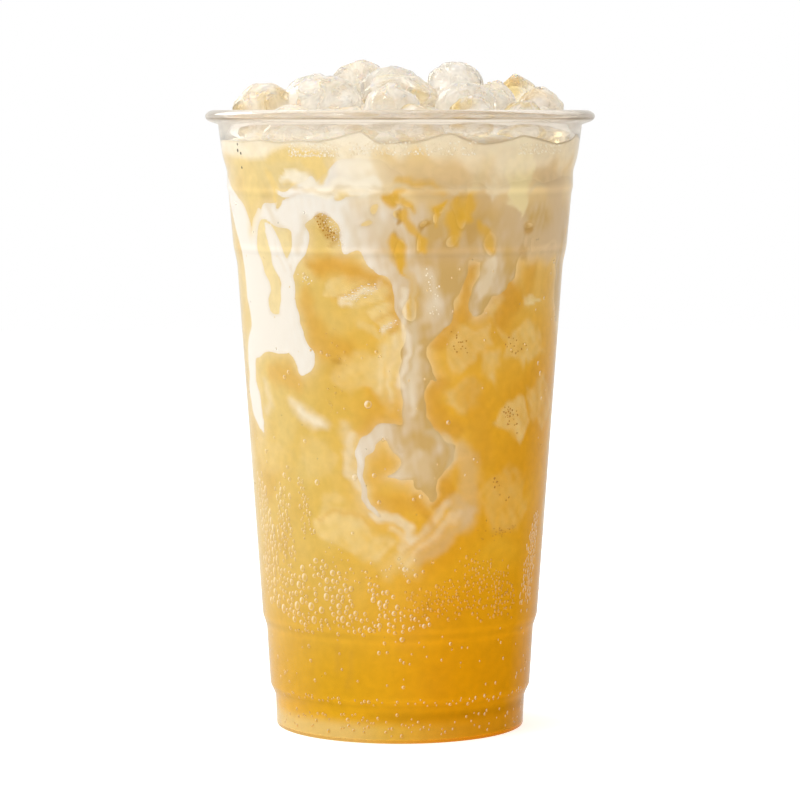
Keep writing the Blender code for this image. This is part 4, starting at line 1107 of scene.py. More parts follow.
def back_holes():
    """Gaps in the crown round the back, like the photographed ones."""
    draw = Random(BACK_DRIP_SEED + 1)
    ranges = (BACK_HOLE_ANGLES, BACK_HOLE_HEIGHTS, (0.6, 1.8), (0.6, 2.6))
    return [tuple(draw.uniform(*ends) for ends in ranges) for _ in range(BACK_HOLE_COUNT)]


def mixed(colour, other, share):
    """Colours moved towards another by a share for each point."""
    return colour + (np.asarray(other) - colour) * np.clip(share, 0, 1)[..., None]


def back_strokes():
    """Painted strokes for the side that the photograph doesn't show: (over cream, drink alone)."""
    draw = Random(BACK_STROKE_SEED)
    over, under = [], []
    for _ in range(BACK_STROKE_COUNT):
        angle = draw.uniform(*BACK_STROKE_ANGLES)
        height = draw.uniform(*BACK_STROKE_HEIGHTS)
        lean = draw.uniform(-12, 12)
        width = draw.uniform(1.2, 4.5)
        path = [
            (angle, height, width),
            (angle + lean, height - draw.uniform(2, 5), width * draw.uniform(0.6, 1.3)),
            (angle + 1.5 * lean, height - draw.uniform(6, 10), width * draw.uniform(0.2, 0.8)),
        ]
        if height > BACK_VEIL_Z:
            over.append(("rim_veil", draw.choice(("veil", "tan", "lemon")), 0.7, 2.0, path))
        elif height > BACK_WISP_Z:
            thin = [(a, z, 0.45 * w) for a, z, w in path]
            over.append(("crown_wisp", draw.choice(("honey", "shade", "milk")), 0.7, 0.8, thin))
        else:
            paint, strength = draw.choice((("icy", 0.5), ("icy", 0.35), ("deep", 0.4), ("veil", 0.35)))
            under.append(("sunk", paint, strength, draw.uniform(1.6, 3.2), path))
    return over, under


def back_patches():
    """Sunk ice seen through the drink round the back: patches with five to seven corners."""
    draw = Random(BACK_PATCH_SEED)
    patches = []
    for _ in range(BACK_PATCH_COUNT):
        ranges = (BACK_PATCH_ANGLES, BACK_PATCH_HEIGHTS, BACK_PATCH_SIZES)
        angle, height, size = (draw.uniform(*ends) for ends in ranges)
        corners, sides, turned_by = [], draw.randint(5, 7), draw.uniform(0, 2 * pi)
        for k in range(sides):
            t = turned_by - 2 * pi * k / sides
            out = size * draw.uniform(0.85, 1.1)
            across = degrees(out * cos(t) / wall_radius(height, WALL))
            corners.append((angle + across, height + out * sin(t)))
        patches.append(("back", "icy", draw.uniform(0.3, 0.75), draw.uniform(0.5, 1.2), corners))
    return patches


BACK_OVER, BACK_UNDER = back_strokes()
BACK_PATCHES = back_patches()


def stroked(colour, angle, height, strokes, settings):
    """Colours with soft painted strokes laid over them in order."""
    angle, height = drifted(angle, height, PAINT_DRIFT)
    for _, paint, strength, soft, points in strokes:
        near = smooth_step(-soft, 0.6 * soft, stroke_inside(angle, height, points))
        colour = mixed(colour, getattr(settings, paint), near * strength)
    return colour


def patch_inside(angle, height, points):
    """How far inside a convex patch each wall point lies, in mm, negative outside."""
    middle, level = np.mean(points, axis=0)
    across = wall_radius(level, WALL) * pi / 180
    x, y = ((angle - middle + 180) % 360 - 180) * across, height - level
    corners = [((a - middle) * across, z - level) for a, z in points]
    best = np.full(angle.shape, 1e3)
    for (x0, y0), (x1, y1) in zip(corners, corners[1:] + corners[:1]):
        length = np.hypot(x1 - x0, y1 - y0)
        best = np.minimum(best, -((x1 - x0) * (y - y0) - (y1 - y0) * (x - x0)) / length)
    return best


def patched(colour, angle, height, patches, settings):
    """Colours with soft-edged patches laid over them, each with a faint painted highlight along its rim."""
    spots = on_wall(angle, height, WALL)
    grain = 1 + 0.14 * waves(spots, 1.3, 65) + 0.16 * waves(spots, 3.5, 66)
    angle, height = drifted(*drifted(angle, height, PATCH_DRIFT), PAINT_DRIFT)
    for _, paint, strength, soft, points in patches:
        inside = patch_inside(angle, height, points)
        near = smooth_step(-PATCH_EDGE * soft, PATCH_EDGE * soft, inside)
        colour = mixed(colour, getattr(settings, paint), near * strength * grain)
        # Painted highlight along the patch's rim.
        rim = band(inside, 0.6 * soft, 0.5 * soft)
        colour = mixed(colour, settings.milk, PATCH_RIM_HIGHLIGHT * strength * rim * grain)
    return colour


def drink_paint(angle, height, settings, field):
    """Colour of the drink at each wall point, before what lies over cream and drink alike."""
    spots = on_wall(angle, height, WALL)
    side = np.sin(np.radians(angle))
    colour = np.broadcast_to(np.array(settings.gold), (*angle.shape, 3)).copy()
    for paint, sides, heights, most in DRINK_RUNS:
        share = between(side, sides) * between(height, heights) * most
        colour = mixed(colour, getattr(settings, paint), share)
    cloud = waves(spots * (1, 1, 0.7), 14, 55) + 0.5 * waves(spots, 6, 56)
    colour = mixed(colour, settings.lemon, smooth_step(0.2, 2.2, cloud) * smooth_step(25, 65, height) * 0.27)
    colour = mixed(colour, settings.deep, smooth_step(-0.2, -2.2, cloud) * 0.35)
    # Painted shade on the right and low down, painted light on the left.
    for sides, heights, loss in DRINK_SHADE_AND_LIGHT:
        depth = between(side, sides) * between(height, heights)
        colour = colour * (1 - depth[..., None] * loss)
    # Cream haze, close to the poured cream and up at the drink's edge.
    colour = mixed(colour, settings.veil, np.exp(np.minimum(field, 0) / 1.6) * 0.4)
    colour = mixed(colour, settings.veil, smooth_step(128, 147, height) * (0.35 + 0.15 * side))
    colour = patched(colour, angle, height, [*DRINK_PATCHES, *BACK_PATCHES], settings)
    return stroked(colour, angle, height, [*DRINK_STROKES, *BACK_UNDER], settings)


def over_paint(colour, angle, height, settings):
    """What lies over cream and drink alike: wisps, veils, the foot's painted glow and shade, wet film and
    the rings' painted highlight and shade lines.
    """
    colour = stroked(colour, angle, height, [*OVER_STROKES, *BACK_OVER], settings)
    colour = patched(colour, angle, height, OVER_PATCHES, settings)
    side = smooth_step(-0.6, 0.7, np.sin(np.radians(angle)))
    # Painted light at the foot, strongest on the left, then painted shade on its right side and in a ring
    # above it.
    glow = smooth_step(*FOOT_GLOW_HEIGHTS, height) * (0.72 - 0.67 * side)
    colour = mixed(colour, settings.lemon, glow)
    shaded = smooth_step(*FOOT_SHADE_SIDES, np.sin(np.radians(angle)))
    colour = colour * (1 - (shaded * smooth_step(*FOOT_SHADE_HEIGHTS, height))[..., None] * FOOT_SHADE)
    colour = colour * (1 - FOOT_RING_LOSS * shaded * band(height, *FOOT_RING))[..., None]
    # The wet film above the drink is ragged and thinner on the right, with a fine dark upper line.
    top, foot = round_line(angle, FILM_TOP), round_line(angle, FILM_FOOT)
    spots = on_wall(angle, height, WALL)
    ragged = height + side * 1.3 * waves(spots * (1, 1, 0.2), 2.2, 63)
    film = smooth_step(foot - 1.5 - 2.5 * side, foot + 0.8 + 0.8 * side, ragged) * (0.86 - 0.1 * side)
    film = film * (1 - 0.16 * smooth_step(0.4, 1.6, waves(spots, 3, 64)))
    wet = mixed(colour * 0 + settings.milk, settings.veil, 0.25 + 0.6 * side)
    colour = mixed(colour, wet, film)
    line = (0.1 + 0.28 * side) * smooth_step(top - 0.4, top - 0.2, height)
    colour = mixed(colour, settings.umber, line)
    # Painted highlight and shade lines from the cup's rings.
    for level, half, brighter in RING_HIGHLIGHTS_AND_SHADES:
        colour = colour * (1 + brighter * band(height, level, half))[..., None]
    return colour


def add_piece(name, mesh, material, replaced=None):
    """Links a new piece, gives it its finish, attaches it to the body, and hides the part that it replaces.
    """
    piece = bpy.data.objects.new(name, mesh)
    bpy.context.scene.collection.objects.link(piece)
    mesh.materials.append(material)
    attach(piece, BODY)
    if replaced:
        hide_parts(replaced)
    return piece


def mesh_from(name, spots, faces, colours=None, smooth=True):
    """A mesh from points in mm, faces, and a colour for each point."""
    mesh = bpy.data.meshes.new(name)
    mesh.from_pydata((np.asarray(spots) * MM).tolist(), [], faces)
    if colours is not None:
        layer = mesh.color_attributes.new("tint", "FLOAT_COLOR", "POINT")
        rgba = np.ones((len(spots), 4), dtype=np.float32)
        rgba[:, :3] = np.clip(colours, 0, 1)
        layer.data.foreach_set("color", rgba.ravel())
    if smooth:
        mesh.shade_smooth()
    mesh.validate()
    return mesh


def turned_faces(rings, columns, closed_ends=(False, False)):
    """Quads between rings of equal size that run down an outside, with fans on closed ends."""
    i = np.arange(columns)
    after = (i + 1) % columns
    faces = []
    for ring in range(rings - 1):
        low, high = ring * columns, (ring + 1) * columns
        faces += np.stack([low + i, high + i, high + after, low + after], -1).tolist()
    last = rings * columns
    if closed_ends[0]:
        faces += np.stack([i, after, np.full(columns, last)], -1).tolist()
        last += 1
    if closed_ends[1]:
        end = (rings - 1) * columns
        faces += np.stack([end + after, end + i, np.full(columns, last)], -1).tolist()
    return faces


def level_ring(turns, radius, height):
    """Points round the cup's axis at a radius and height."""
    return np.stack([radius * np.cos(turns), radius * np.sin(turns), height + 0 * turns], -1)


def turned(name, outline, columns):
    """A closed solid from an outline that starts and ends on the axis."""
    turns = np.arange(columns) * 2 * pi / columns
    body = np.array(outline[1:-1])
    spots = level_ring(turns, body[:, :1], body[:, 1:]).reshape(-1, 3)
    ends = [(0, 0, outline[0][1]), (0, 0, outline[-1][1])]
    return mesh_from(name, np.vstack([spots, ends]), turned_faces(len(body), columns, (True, True)))


def cup_outline(wall):
    """The whole cup: up the inside, over the rolled rim, down the outside and under the foot."""
    inside = side_outline(wall, FLOOR_THICKNESS)
    centre = (RIM_RADIUS - RIM_ROLL_RADIUS, CUP_HEIGHT - RIM_ROLL_HEIGHT / 2)
    lip = (inside[0][0] + LIP_FLARE, CUP_HEIGHT - LIP_DROP)
    roll = arc(centre, (RIM_ROLL_RADIUS, RIM_ROLL_HEIGHT / 2), 120, -60, 20)
    throat = rounded([(*inside[0], 0.0), (*lip, 0.6), (*roll[0], 0.0)])
    return list(reversed(inside)) + throat[1:-1] + roll + side_outline(0.0, 0.0)


def round_line(angle, points):
    """Heights at angles from a line of (angle, height) points that closes on itself."""
    return np.interp(angle, [p[0] for p in points], [p[1] for p in points], period=360)


class SodaCup(Operator):
    """Turns the thin clear cup with its rolled rim, rings, ledge and foot."""

    bl_idname = "soda.cup"
    bl_label = "Cup"

    def execute(self, context):
        settings = context.scene.soda_cup
        mesh = turned("soda_cup", cup_outline(settings.wall / MM), settings.segments)
        add_piece("soda_cup", mesh, cup_plastic(settings), "cup")
        return {"FINISHED"}


class SodaDrink(Operator):
    """Fills the cup with cloudy drink, painted with cream haze, sunk ice and the wet film above it."""

    bl_idname = "soda.drink"
    bl_label = "Drink"

    def execute(self, context):
        settings = context.scene.soda_drink
        columns = settings.columns
        angles = np.arange(columns) * 360 / columns
        heights = np.arange(DRINK_LEVEL, FOOT_CORNER + 2.0, -settings.row / MM)
        lift = FLOOR_THICKNESS - INTO_WALL
        outline = side_outline(DRINK_INSET, lift)
        under = [p for p in outline if p[1] < heights[-1] - 0.2 and p[0] > 0.1]
        angle, height = np.meshgrid(angles, heights)
        rise = round_line(angle, FILM_TOP) - DRINK_LEVEL
        height = height + rise * smooth_step(DRINK_LEVEL - 12, DRINK_LEVEL, height)
        colour = drink_paint(angle, height, settings, cream_inside(angle, height))
        colour = over_paint(colour, angle, height, settings)
        turns = np.radians(angles - 90)
        top_radii = np.linspace(4, wall_radius(DRINK_LEVEL, DRINK_INSET) - 0.7, 9)
        top = [level_ring(turns, r, DRINK_LEVEL + 0.8 * rise[0] * (r / 45) ** 4) for r in top_radii]
        low = [level_ring(turns, r, z) for r, z in under]
        rings = np.stack([*top, *on_wall(angle, height, DRINK_INSET), *low])
        spots = np.vstack([rings.reshape(-1, 3), [(0, 0, DRINK_LEVEL), (0, 0, PUNT_HEIGHT + lift)]])
        upper = np.repeat(colour[:1], len(top), 0)
        lower = np.repeat(colour[-1:], len(low), 0)
        paint = np.concatenate([upper, colour, lower]).reshape(-1, 3)
        paint = np.vstack([paint, paint[:1], paint[-1:]])
        faces = turned_faces(len(rings), columns, (True, True))
        mesh = mesh_from("soda_drink", spots, faces, paint)
        add_piece("soda_drink", mesh, drink_liquid(), "drink")
        return {"FINISHED"}


def cream_plan(field):
    """Cells of the grid inside the cream: whole quads, cut pieces, and the cut edges.

    A cut corner is (node, node, share of the way between them).
    """
    columns, rows = field.shape
    inside = field > 0
    right = np.roll(inside, -1, 0)
    count = inside[:, :-1].astype(int) + inside[:, 1:] + right[:, :-1] + right[:, 1:]
    whole, cut, rim = [], [], []
    for i, j in np.argwhere(count > 0).tolist():
        k = (i + 1) % columns
        corners = [(i, j), (k, j), (k, j + 1), (i, j + 1)]
        if count[i, j] == 4:
            whole.append(corners)
            continue
        for triangle in (corners[:3], [corners[0], *corners[2:]]):
            piece = []
            for p, q in zip(triangle, triangle[1:] + triangle[:1]):
                if inside[p]:
                    piece.append(p)
                if inside[p] != inside[q]:
                    low, high = (p, q) if p < q else (q, p)
                    share = float(np.clip(field[low] / (field[low] - field[high]), 0.02, 0.98))
                    piece.append((low, high, share))
            if len(piece) > 2:
                cut.append(piece)
                rim += [(p, q) for p, q in zip(piece, piece[1:] + piece[:1]) if len(p) + len(q) == 6]
    return whole, cut, rim


def cream_colour(angle, height, field, settings, drink):
    """White where the cream is thick and towards the light, beige where drink is mixed in, and beige as
    painted shade round to the right, away from the light.
    """
    spots = on_wall(angle, height, WALL)
    streak = waves(spots * (1, 1, 0.35), 2.4, 61) + 0.6 * waves(spots, 8, 62)
    turn = (angle + 180) % 360 - 180
    # Painted shade: the cream turns beige from the front round to the right, away from the key light, and
    # less so round the back.
    hidden = 1 - 0.6 * smooth_step(80, 98, turn)
    share = 0.03 + 0.92 * smooth_step(-27, 15, turn) * smooth_step(180, 120, turn) * hidden
    share = share + 0.08 * streak * smooth_step(-34, 0, turn)
    share = share + 0.06 * smooth_step(98, 74, height) * smooth_step(-30, 0, turn)
    share = share + 0.2 * smooth_step(1.0, 0.0, field)
    share = share + 0.05 * waves(spots * (1, 1, 0.4), 0.9, 70) * smooth_step(-60, 0, turn)
    base = np.broadcast_to(np.array(settings.white), (*angle.shape, 3))
    colour = mixed(base, settings.beige, share)
    mingled = smooth_step(128.5, 136.5, height + 0.8 * streak) * smooth_step(-22, -2, turn)
    colour = mixed(colour, drink_paint(angle, height, drink, field), mingled)
    return over_paint(colour, angle, height, drink)


class SodaCream(Operator):
    """Pours the cream as a thin crown with streams, blobs and gaps inside the wall."""

    bl_idname = "soda.cream"
    bl_label = "Cream"

    def execute(self, context):
        settings = context.scene.soda_cream
        cell = settings.cell / MM
        columns = int(round(2 * pi * wall_radius(128, WALL) / cell))
        angles = np.arange(columns) * 360 / columns
        heights = np.arange(CREAM_LOW_Z, CREAM_HIGH_Z, cell)
        angle, height = np.meshgrid(angles, heights, indexing="ij")
        field = cream_inside(angle, height)
        whole, cut, rim = cream_plan(field)
        index, places = {}, []

        def point(corner):
            if corner not in index:
                index[corner] = len(places)
                if len(corner) == 2:
                    places.append((angles[corner[0]], heights[corner[1]], field[corner]))
                else:
                    (i0, j0), (i1, j1), share = corner
                    turn = (angles[i1] - angles[i0] + 180) % 360 - 180
                    high = heights[j0] + share * (heights[j1] - heights[j0])
                    places.append((angles[i0] + share * turn, high, 0.0))
            return index[corner]

        front = [[point(corner) for corner in piece] for piece in whole + cut]
        cut_edges = [(point(p), point(q)) for p, q in rim]
        turn, high, inner = np.array(places).T
        dip = CREAM_EDGE_DIP * (1 - smooth_step(0.0, CREAM_EDGE_WIDTH, inner)) ** 2
        outer = on_wall(turn, high, CREAM_INSET + dip)
        inward = on_wall(turn, high, CREAM_INSET + settings.depth / MM)
        count = len(places)
        faces = front + [[corner + count for corner in reversed(face)] for face in front]
        edge_points = sorted({corner for edge in cut_edges for corner in edge})
        side = {corner: 2 * count + k for k, corner in enumerate(edge_points)}
        faces += [[side[q], side[p], p + count, q + count] for p, q in cut_edges]
        colour = cream_colour(turn, high, inner, settings, context.scene.soda_drink)
        mesh = mesh_from(
            "soda_cream", np.vstack([outer, inward, outer[edge_points]]), faces,
            np.vstack([colour, colour, colour[edge_points]]),
        )
        add_piece("soda_cream", mesh, cream_liquid(), "cream")
        return {"FINISHED"}


def dome(angle, height, width, tall, rise, inset):
    """Points of a low dome on the wall, rings first and the top last, in mm."""
    turn = radians(angle - 90)
    out = np.array((cos(turn), sin(turn), 0.0))
    along = np.array((-sin(turn), cos(turn), 0.0))
    up = np.array((0.0, 0.0, 1.0))
    centre = on_wall(angle, height, inset)
    spots = []
    for share, lift in BUBBLE_RINGS:
        for k in range(BUBBLE_SIDES):
            t = 2 * pi * k / BUBBLE_SIDES
            spots.append(
                centre + along * cos(t) * share * width / 2 + up * sin(t) * share * tall / 2
                + out * lift * rise
            )
    spots.append(centre + out * rise)
    return spots


def dome_faces(first):
    """Faces of one dome whose points start at first, with its underside closed."""
    faces = []
    for ring in range(len(BUBBLE_RINGS) - 1):
        low = first + ring * BUBBLE_SIDES
        for k in range(BUBBLE_SIDES):
            n = (k + 1) % BUBBLE_SIDES
            faces.append((low + k, low + n, low + BUBBLE_SIDES + n, low + BUBBLE_SIDES + k))
    low = first + (len(BUBBLE_RINGS) - 1) * BUBBLE_SIDES
    top = low + BUBBLE_SIDES
    faces += [(low + k, low + (k + 1) % BUBBLE_SIDES, top) for k in range(BUBBLE_SIDES)]
    faces.append(tuple(first + k for k in reversed(range(BUBBLE_SIDES))))
    return faces


def along_stroke(draw, points):
    """A random place (angle, height) inside a stroke."""
    spans = [abs(p[1] - q[1]) + 0.6 * abs(p[0] - q[0]) + 0.1 for p, q in zip(points, points[1:])]
    k = draw.choices(range(len(spans)), spans)[0]
    t = draw.random()
    a, z, w = (p + (q - p) * t for p, q in zip(points[k], points[k + 1]))
    out, turn = w * draw.random() ** 0.6, draw.uniform(0, 2 * pi)
    return a + degrees(out * cos(turn) / wall_radius(z, WALL)), z + out * sin(turn)


def placed_bubbles(seed):
    """Every bubble as (angle, height, width, stretch) with its tone."""
    draw = Random(seed)
    clusters = list(CLUSTERS)
    for _ in range(BACK_CLUSTERS):
        angle, low, tall = draw.uniform(85, 270), draw.uniform(18, 60), draw.uniform(4, 16)
        path = [(angle, low, 2.5), (angle + draw.uniform(-6, 6), low + tall, 2.2)]
        count, stretch = draw.randint(40, 120), draw.choice((1.1, 1.1, 1.8))
        clusters.append(("back", count, 0.5, 1.2, stretch, "glint", path))
    bubbles = [(a, z, w, 1.05, "glint") for a, z, w in SINGLE_BUBBLES]
    bubbles += [(a, z, w, tall, "dark") for a, z, w, tall in DARK_SPECKS]
    for _, count, small, large, stretch, tone, path in clusters:
        for _ in range(count):
            width = small + (large - small) * draw.random() ** 1.6
            bubbles.append((*along_stroke(draw, path), width, stretch * draw.uniform(0.85, 1.2), tone))
    for first, last, low, high, count, small, large in SCATTER:
        for _ in range(count):
            width = small + (large - small) * draw.random() ** 2
            place = (draw.uniform(first, last), draw.uniform(low, high))
            bubbles.append((*place, width, draw.uniform(1, 1.35), "glint"))
    kept = []
    for bubble in bubbles:
        a, z, w = bubble[:3]
        near = wall_radius(z, WALL) * pi / 180
        if all(
            abs(z - q[1]) > BUBBLE_SPACING * (w + q[2]) or abs(a - q[0]) * near > BUBBLE_SPACING * (w + q[2])
            for q in kept[-400:]
        ):
            kept.append(bubble)
    return kept


def domes_mesh(name, domes, colours=None):
    """One mesh of many domes, each (angle, height, width, tall, rise, inset)."""
    spots, faces = [], []
    for sizes in domes:
        faces += dome_faces(len(spots))
        spots += dome(*sizes)
    return mesh_from(name, spots, faces, None if colours is None else np.vstack(colours))


def bubble_colours(base, tone, lit, settings):
    """Colours of one dome's points: a painted highlight as a bright crescent up and to the left, and painted
    shade at the lower right.
    """
    t = 2 * pi * np.arange(BUBBLE_SIDES) / BUBBLE_SIDES
    rings = []
    for share, _ in BUBBLE_RINGS:
        toward = share * np.cos(t - radians(LIT_FROM))
        ring = np.repeat(base[None], BUBBLE_SIDES, 0)
        # Painted highlight round the edge and on the lit side, painted shade on the far side.
        edge = 0.35 * smooth_step(0.5, 0.8, share)
        ring = mixed(ring, settings.glint, lit * np.maximum(edge, smooth_step(0.0, 0.6, toward)))
        rings.append(mixed(ring, settings.shade, 0.45 * lit * smooth_step(0.5, 0.95, -toward)))
    colours = np.vstack([*rings, base])
    flat = {"speck": (settings.shade, 0.9), **FLAT_TONES}.get(tone)
    return mixed(colours, flat[0], np.full(len(colours), flat[1])) if flat else colours


class SodaBubbles(Operator):
    """Sets gas bubbles on the inside of the wall, in clusters, chains and a foam line."""

    bl_idname = "soda.bubbles"
    bl_label = "Bubbles"

    def execute(self, context):
        settings = context.scene.soda_bubbles
        bubbles = placed_bubbles(settings.seed)
        draw = Random(settings.seed + 1)
        angle, height = np.array([bubble[:2] for bubble in bubbles]).T
        base = drink_paint(angle, height, context.scene.soda_drink, cream_inside(angle, height))
        domes, colours = [], []
        for (a, z, w, stretch, tone), under in zip(bubbles, base):
            on_cream = tone == "white"
            rise = GLINT_RISE if on_cream else min(settings.height / MM, BUBBLE_STEEPNESS * w)
            domes.append((a, z, w, w * stretch, rise, CREAM_INSET if on_cream else DRINK_INSET))
            lit = draw.uniform(0.7, 1.0) * (SOFT_GLINT if tone == "soft_glint" else 1.0)
            colours.append(bubble_colours(under, tone, lit, settings))
        mesh = domes_mesh("soda_bubbles", domes, colours)
        add_piece("soda_bubbles", mesh, bubble_skin(), None)
        self.foam(context)
        return {"FINISHED"}

    def foam(self, context):
        """Tiny bubbles along the drink's upper edge."""
        settings = context.scene.soda_bubbles
        veil = np.array(context.scene.soda_drink.veil)
        draw = Random(settings.seed + 2)
        lines = list(FOAM_LINES)
        for _ in range(BACK_FOAM_LINES):
            start = draw.uniform(75, 250)
            lines.append((start, start + draw.uniform(12, 26), *BACK_FOAM_HEIGHTS, draw.randint(60, 120)))
        domes, colours = [], []
        for first, last, low, high, count in lines:
            for _ in range(count):
                a = draw.uniform(first, last)
                z = low + (high - low) * draw.random() ** 1.5
                w = draw.uniform(*FOAM_WIDTHS)
                domes.append((a, z, w, w, GLINT_RISE, DRINK_INSET))
                tone = draw.choice(("white", "glint", "glint"))
                colours.append(bubble_colours(veil, tone, 0.5, settings))
        mesh = domes_mesh("soda_foam", domes, colours)
        add_piece("soda_foam", mesh, bubble_skin(), None)


def placed_lumps(seed):
    """Every lump as (centre, half sizes, turn): the shown ones, a ring at the wall, then fill."""
    draw = Random(seed)
    lumps = []

    def add_if_free(distance, turn, height, half):
        centre = Vector((distance * cos(turn), distance * sin(turn), height))
        for other, size, _ in lumps:
            if (centre - other).length < LUMP_SPACING * (half.length + size.length) / 3**0.5:
                return
        lumps.append((centre, half, degrees(turn)))

    for x, y, top, width, height, _ in SHOWN_LUMPS:
        half = Vector((width / 2, width / 2 * draw.uniform(0.85, 1.0), height / 2))
        centre = Vector((x, y, CUP_HEIGHT + top - height / 2))
        lumps.append((centre, half, draw.uniform(-15, 15)))
    for k in range(LUMPS_AT_WALL):
        half = Vector([draw.uniform(*ends) for ends in WALL_LUMP_HALVES])
        turn = 2 * pi * (k + draw.uniform(-0.12, 0.12)) / LUMPS_AT_WALL
        add_if_free(LUMP_REACH - half.x, turn, ICE_BASE_Z + draw.uniform(*WALL_LUMP_LIFT), half)
    for _ in range(LUMP_TRIES):
        half = Vector([draw.uniform(*ends) for ends in FILL_LUMP_HALVES])
        reach = LUMP_REACH - 2 - max(half.x, half.y)
        distance = reach * draw.random() ** 0.5
        turn = draw.uniform(0, 2 * pi)
        rise = ICE_DOME_RISE * (1 - (distance / reach) ** 2)
        add_if_free(distance, turn, CUP_HEIGHT - ICE_FILL_SINK + rise, half)
    return lumps


def unit_ball(detail):
    """Points and faces of a unit icosphere."""
    bm = bmesh.new()
    bmesh.ops.create_icosphere(bm, subdivisions=detail, radius=1.0)
    spots = np.array([vert.co[:] for vert in bm.verts])
    faces = np.array([[vert.index for vert in face.verts] for face in bm.faces])
    bm.free()
    return spots, faces


def lump_points(ball, centre, half, turn, draw):
    """A melted lump: a ball worn flat on a few sides, dented and stretched, in mm."""
    spots = ball.copy()
    soft = LUMP_FLAT_SOFTNESS
    for _ in range(LUMP_FLATS):
        toward = np.array(Vector([draw.uniform(-1, 1) for _ in range(3)]).normalized())
        beyond = spots @ toward - draw.uniform(*LUMP_FLAT_LIMITS)
        push = np.where(beyond > -soft, (beyond + soft) ** 2 / (4 * soft), 0)
        push = np.where(beyond > soft, beyond, push)
        spots -= push[:, None] * toward
    dents = sum(depth * waves(spots, size, draw.randint(0, 9999), 8) for depth, size in LUMP_DENTS)
    spots *= (1 + dents)[:, None]
    spots = spots * np.array(half)
    around = np.array(Euler((0, 0, radians(turn))).to_matrix())
    return spots @ around.T + np.array(centre)


def kept_in_cup(spots):
    """Moves points back inside the wall, and no lower than the drink."""
    spots[:, 2] = np.maximum(spots[:, 2], DRINK_LEVEL - 1.5)
    radius = np.hypot(spots[:, 0], spots[:, 1])
    limit = wall_radius(np.minimum(spots[:, 2], COLLAR_TOP[1]), WALL + 0.12)
    spots[:, :2] *= np.minimum(1, limit / np.maximum(radius, 1e-6))[:, None]
    return spots


class SodaIce(Operator):
    """Heaps clear melted ice lumps over a core of packed wet ice."""

    bl_idname = "soda.ice"
    bl_label = "Ice"

    def execute(self, context):
        settings = context.scene.soda_ice
        draw = Random(settings.seed + 1)
        balls = {detail: unit_ball(detail) for detail in (settings.detail - 1, settings.detail)}
        spots, faces, colours, total = [], [], [], 0
        for k, (centre, half, turn) in enumerate(placed_lumps(settings.seed)):
            detail = settings.detail if k < len(SHOWN_LUMPS) else settings.detail - 1
            ball, sides = balls[detail]
            points = lump_points(ball, centre, half, turn, draw)
            share = SHOWN_LUMPS[k][5] if k < len(SHOWN_LUMPS) else 0.35 * draw.random() ** 2
            stained = share * smooth_step(-0.6, 1.2, waves(points, 4, 80 + k))
            colours.append(mixed(np.tile(settings.tint, (len(points), 1)), settings.stain, stained))
            spots.append(kept_in_cup(points))
            faces += (sides + total).tolist()
            total += len(ball)
        mesh = mesh_from("soda_ice", np.vstack(spots), faces, np.vstack(colours))
        add_piece("soda_ice", mesh, clear_ice(), "ice_heap")
        radii = (ICE_CORE_RADIUS, ICE_CORE_TOP_Z - ICE_CORE_EDGE_Z)
        dome_line = arc((0.0, ICE_CORE_EDGE_Z), radii, 90, 0, 12)
        foot = [(ICE_CORE_RADIUS, ICE_CORE_FOOT_Z), (0.0, ICE_CORE_FOOT_Z)]
        outline = [(0.0, ICE_CORE_TOP_Z), *dome_line[1:], *foot]
        core = turned("soda_ice_core", outline, ICE_CORE_SIDES)
        add_piece("soda_ice_core", core, packed_ice(settings), None)
        return {"FINISHED"}


class SodaDroplets(Operator):
    """Scatters condensation droplets over the outside of the cup."""

    bl_idname = "soda.droplets"
    bl_label = "Droplets"

    def execute(self, context):
        settings = context.scene.soda_droplets
        draw = Random(DROPLET_SEED)
        domes = []
        for _ in range(settings.count):
            width = settings.largest / MM * (0.25 + 0.75 * draw.random() ** 4)
            place = (draw.uniform(0, 360), draw.uniform(*DROPLET_HEIGHTS))
            domes.append((*place, width, width * draw.uniform(1, 1.3), DROPLET_RISE * width, 0.0))
        mesh = domes_mesh("soda_droplets", domes)
        add_piece("soda_droplets", mesh, clear_water(), None)
        return {"FINISHED"}


def soft_lamp(name, place, size, power, colour):
    """A square area light aimed at the middle of the cup, in metres."""
    data = bpy.data.lights.new(name, "AREA")
    data.shape = "SQUARE"
    data.size = size
    data.energy = power
    data.color = colour
    lamp = bpy.data.objects.new(name, data)
    bpy.context.scene.collection.objects.link(lamp)
    lamp.location = place
    lamp.rotation_euler = (Vector(LAMP_AIM) - Vector(place)).to_track_quat("-Z", "Y").to_euler()


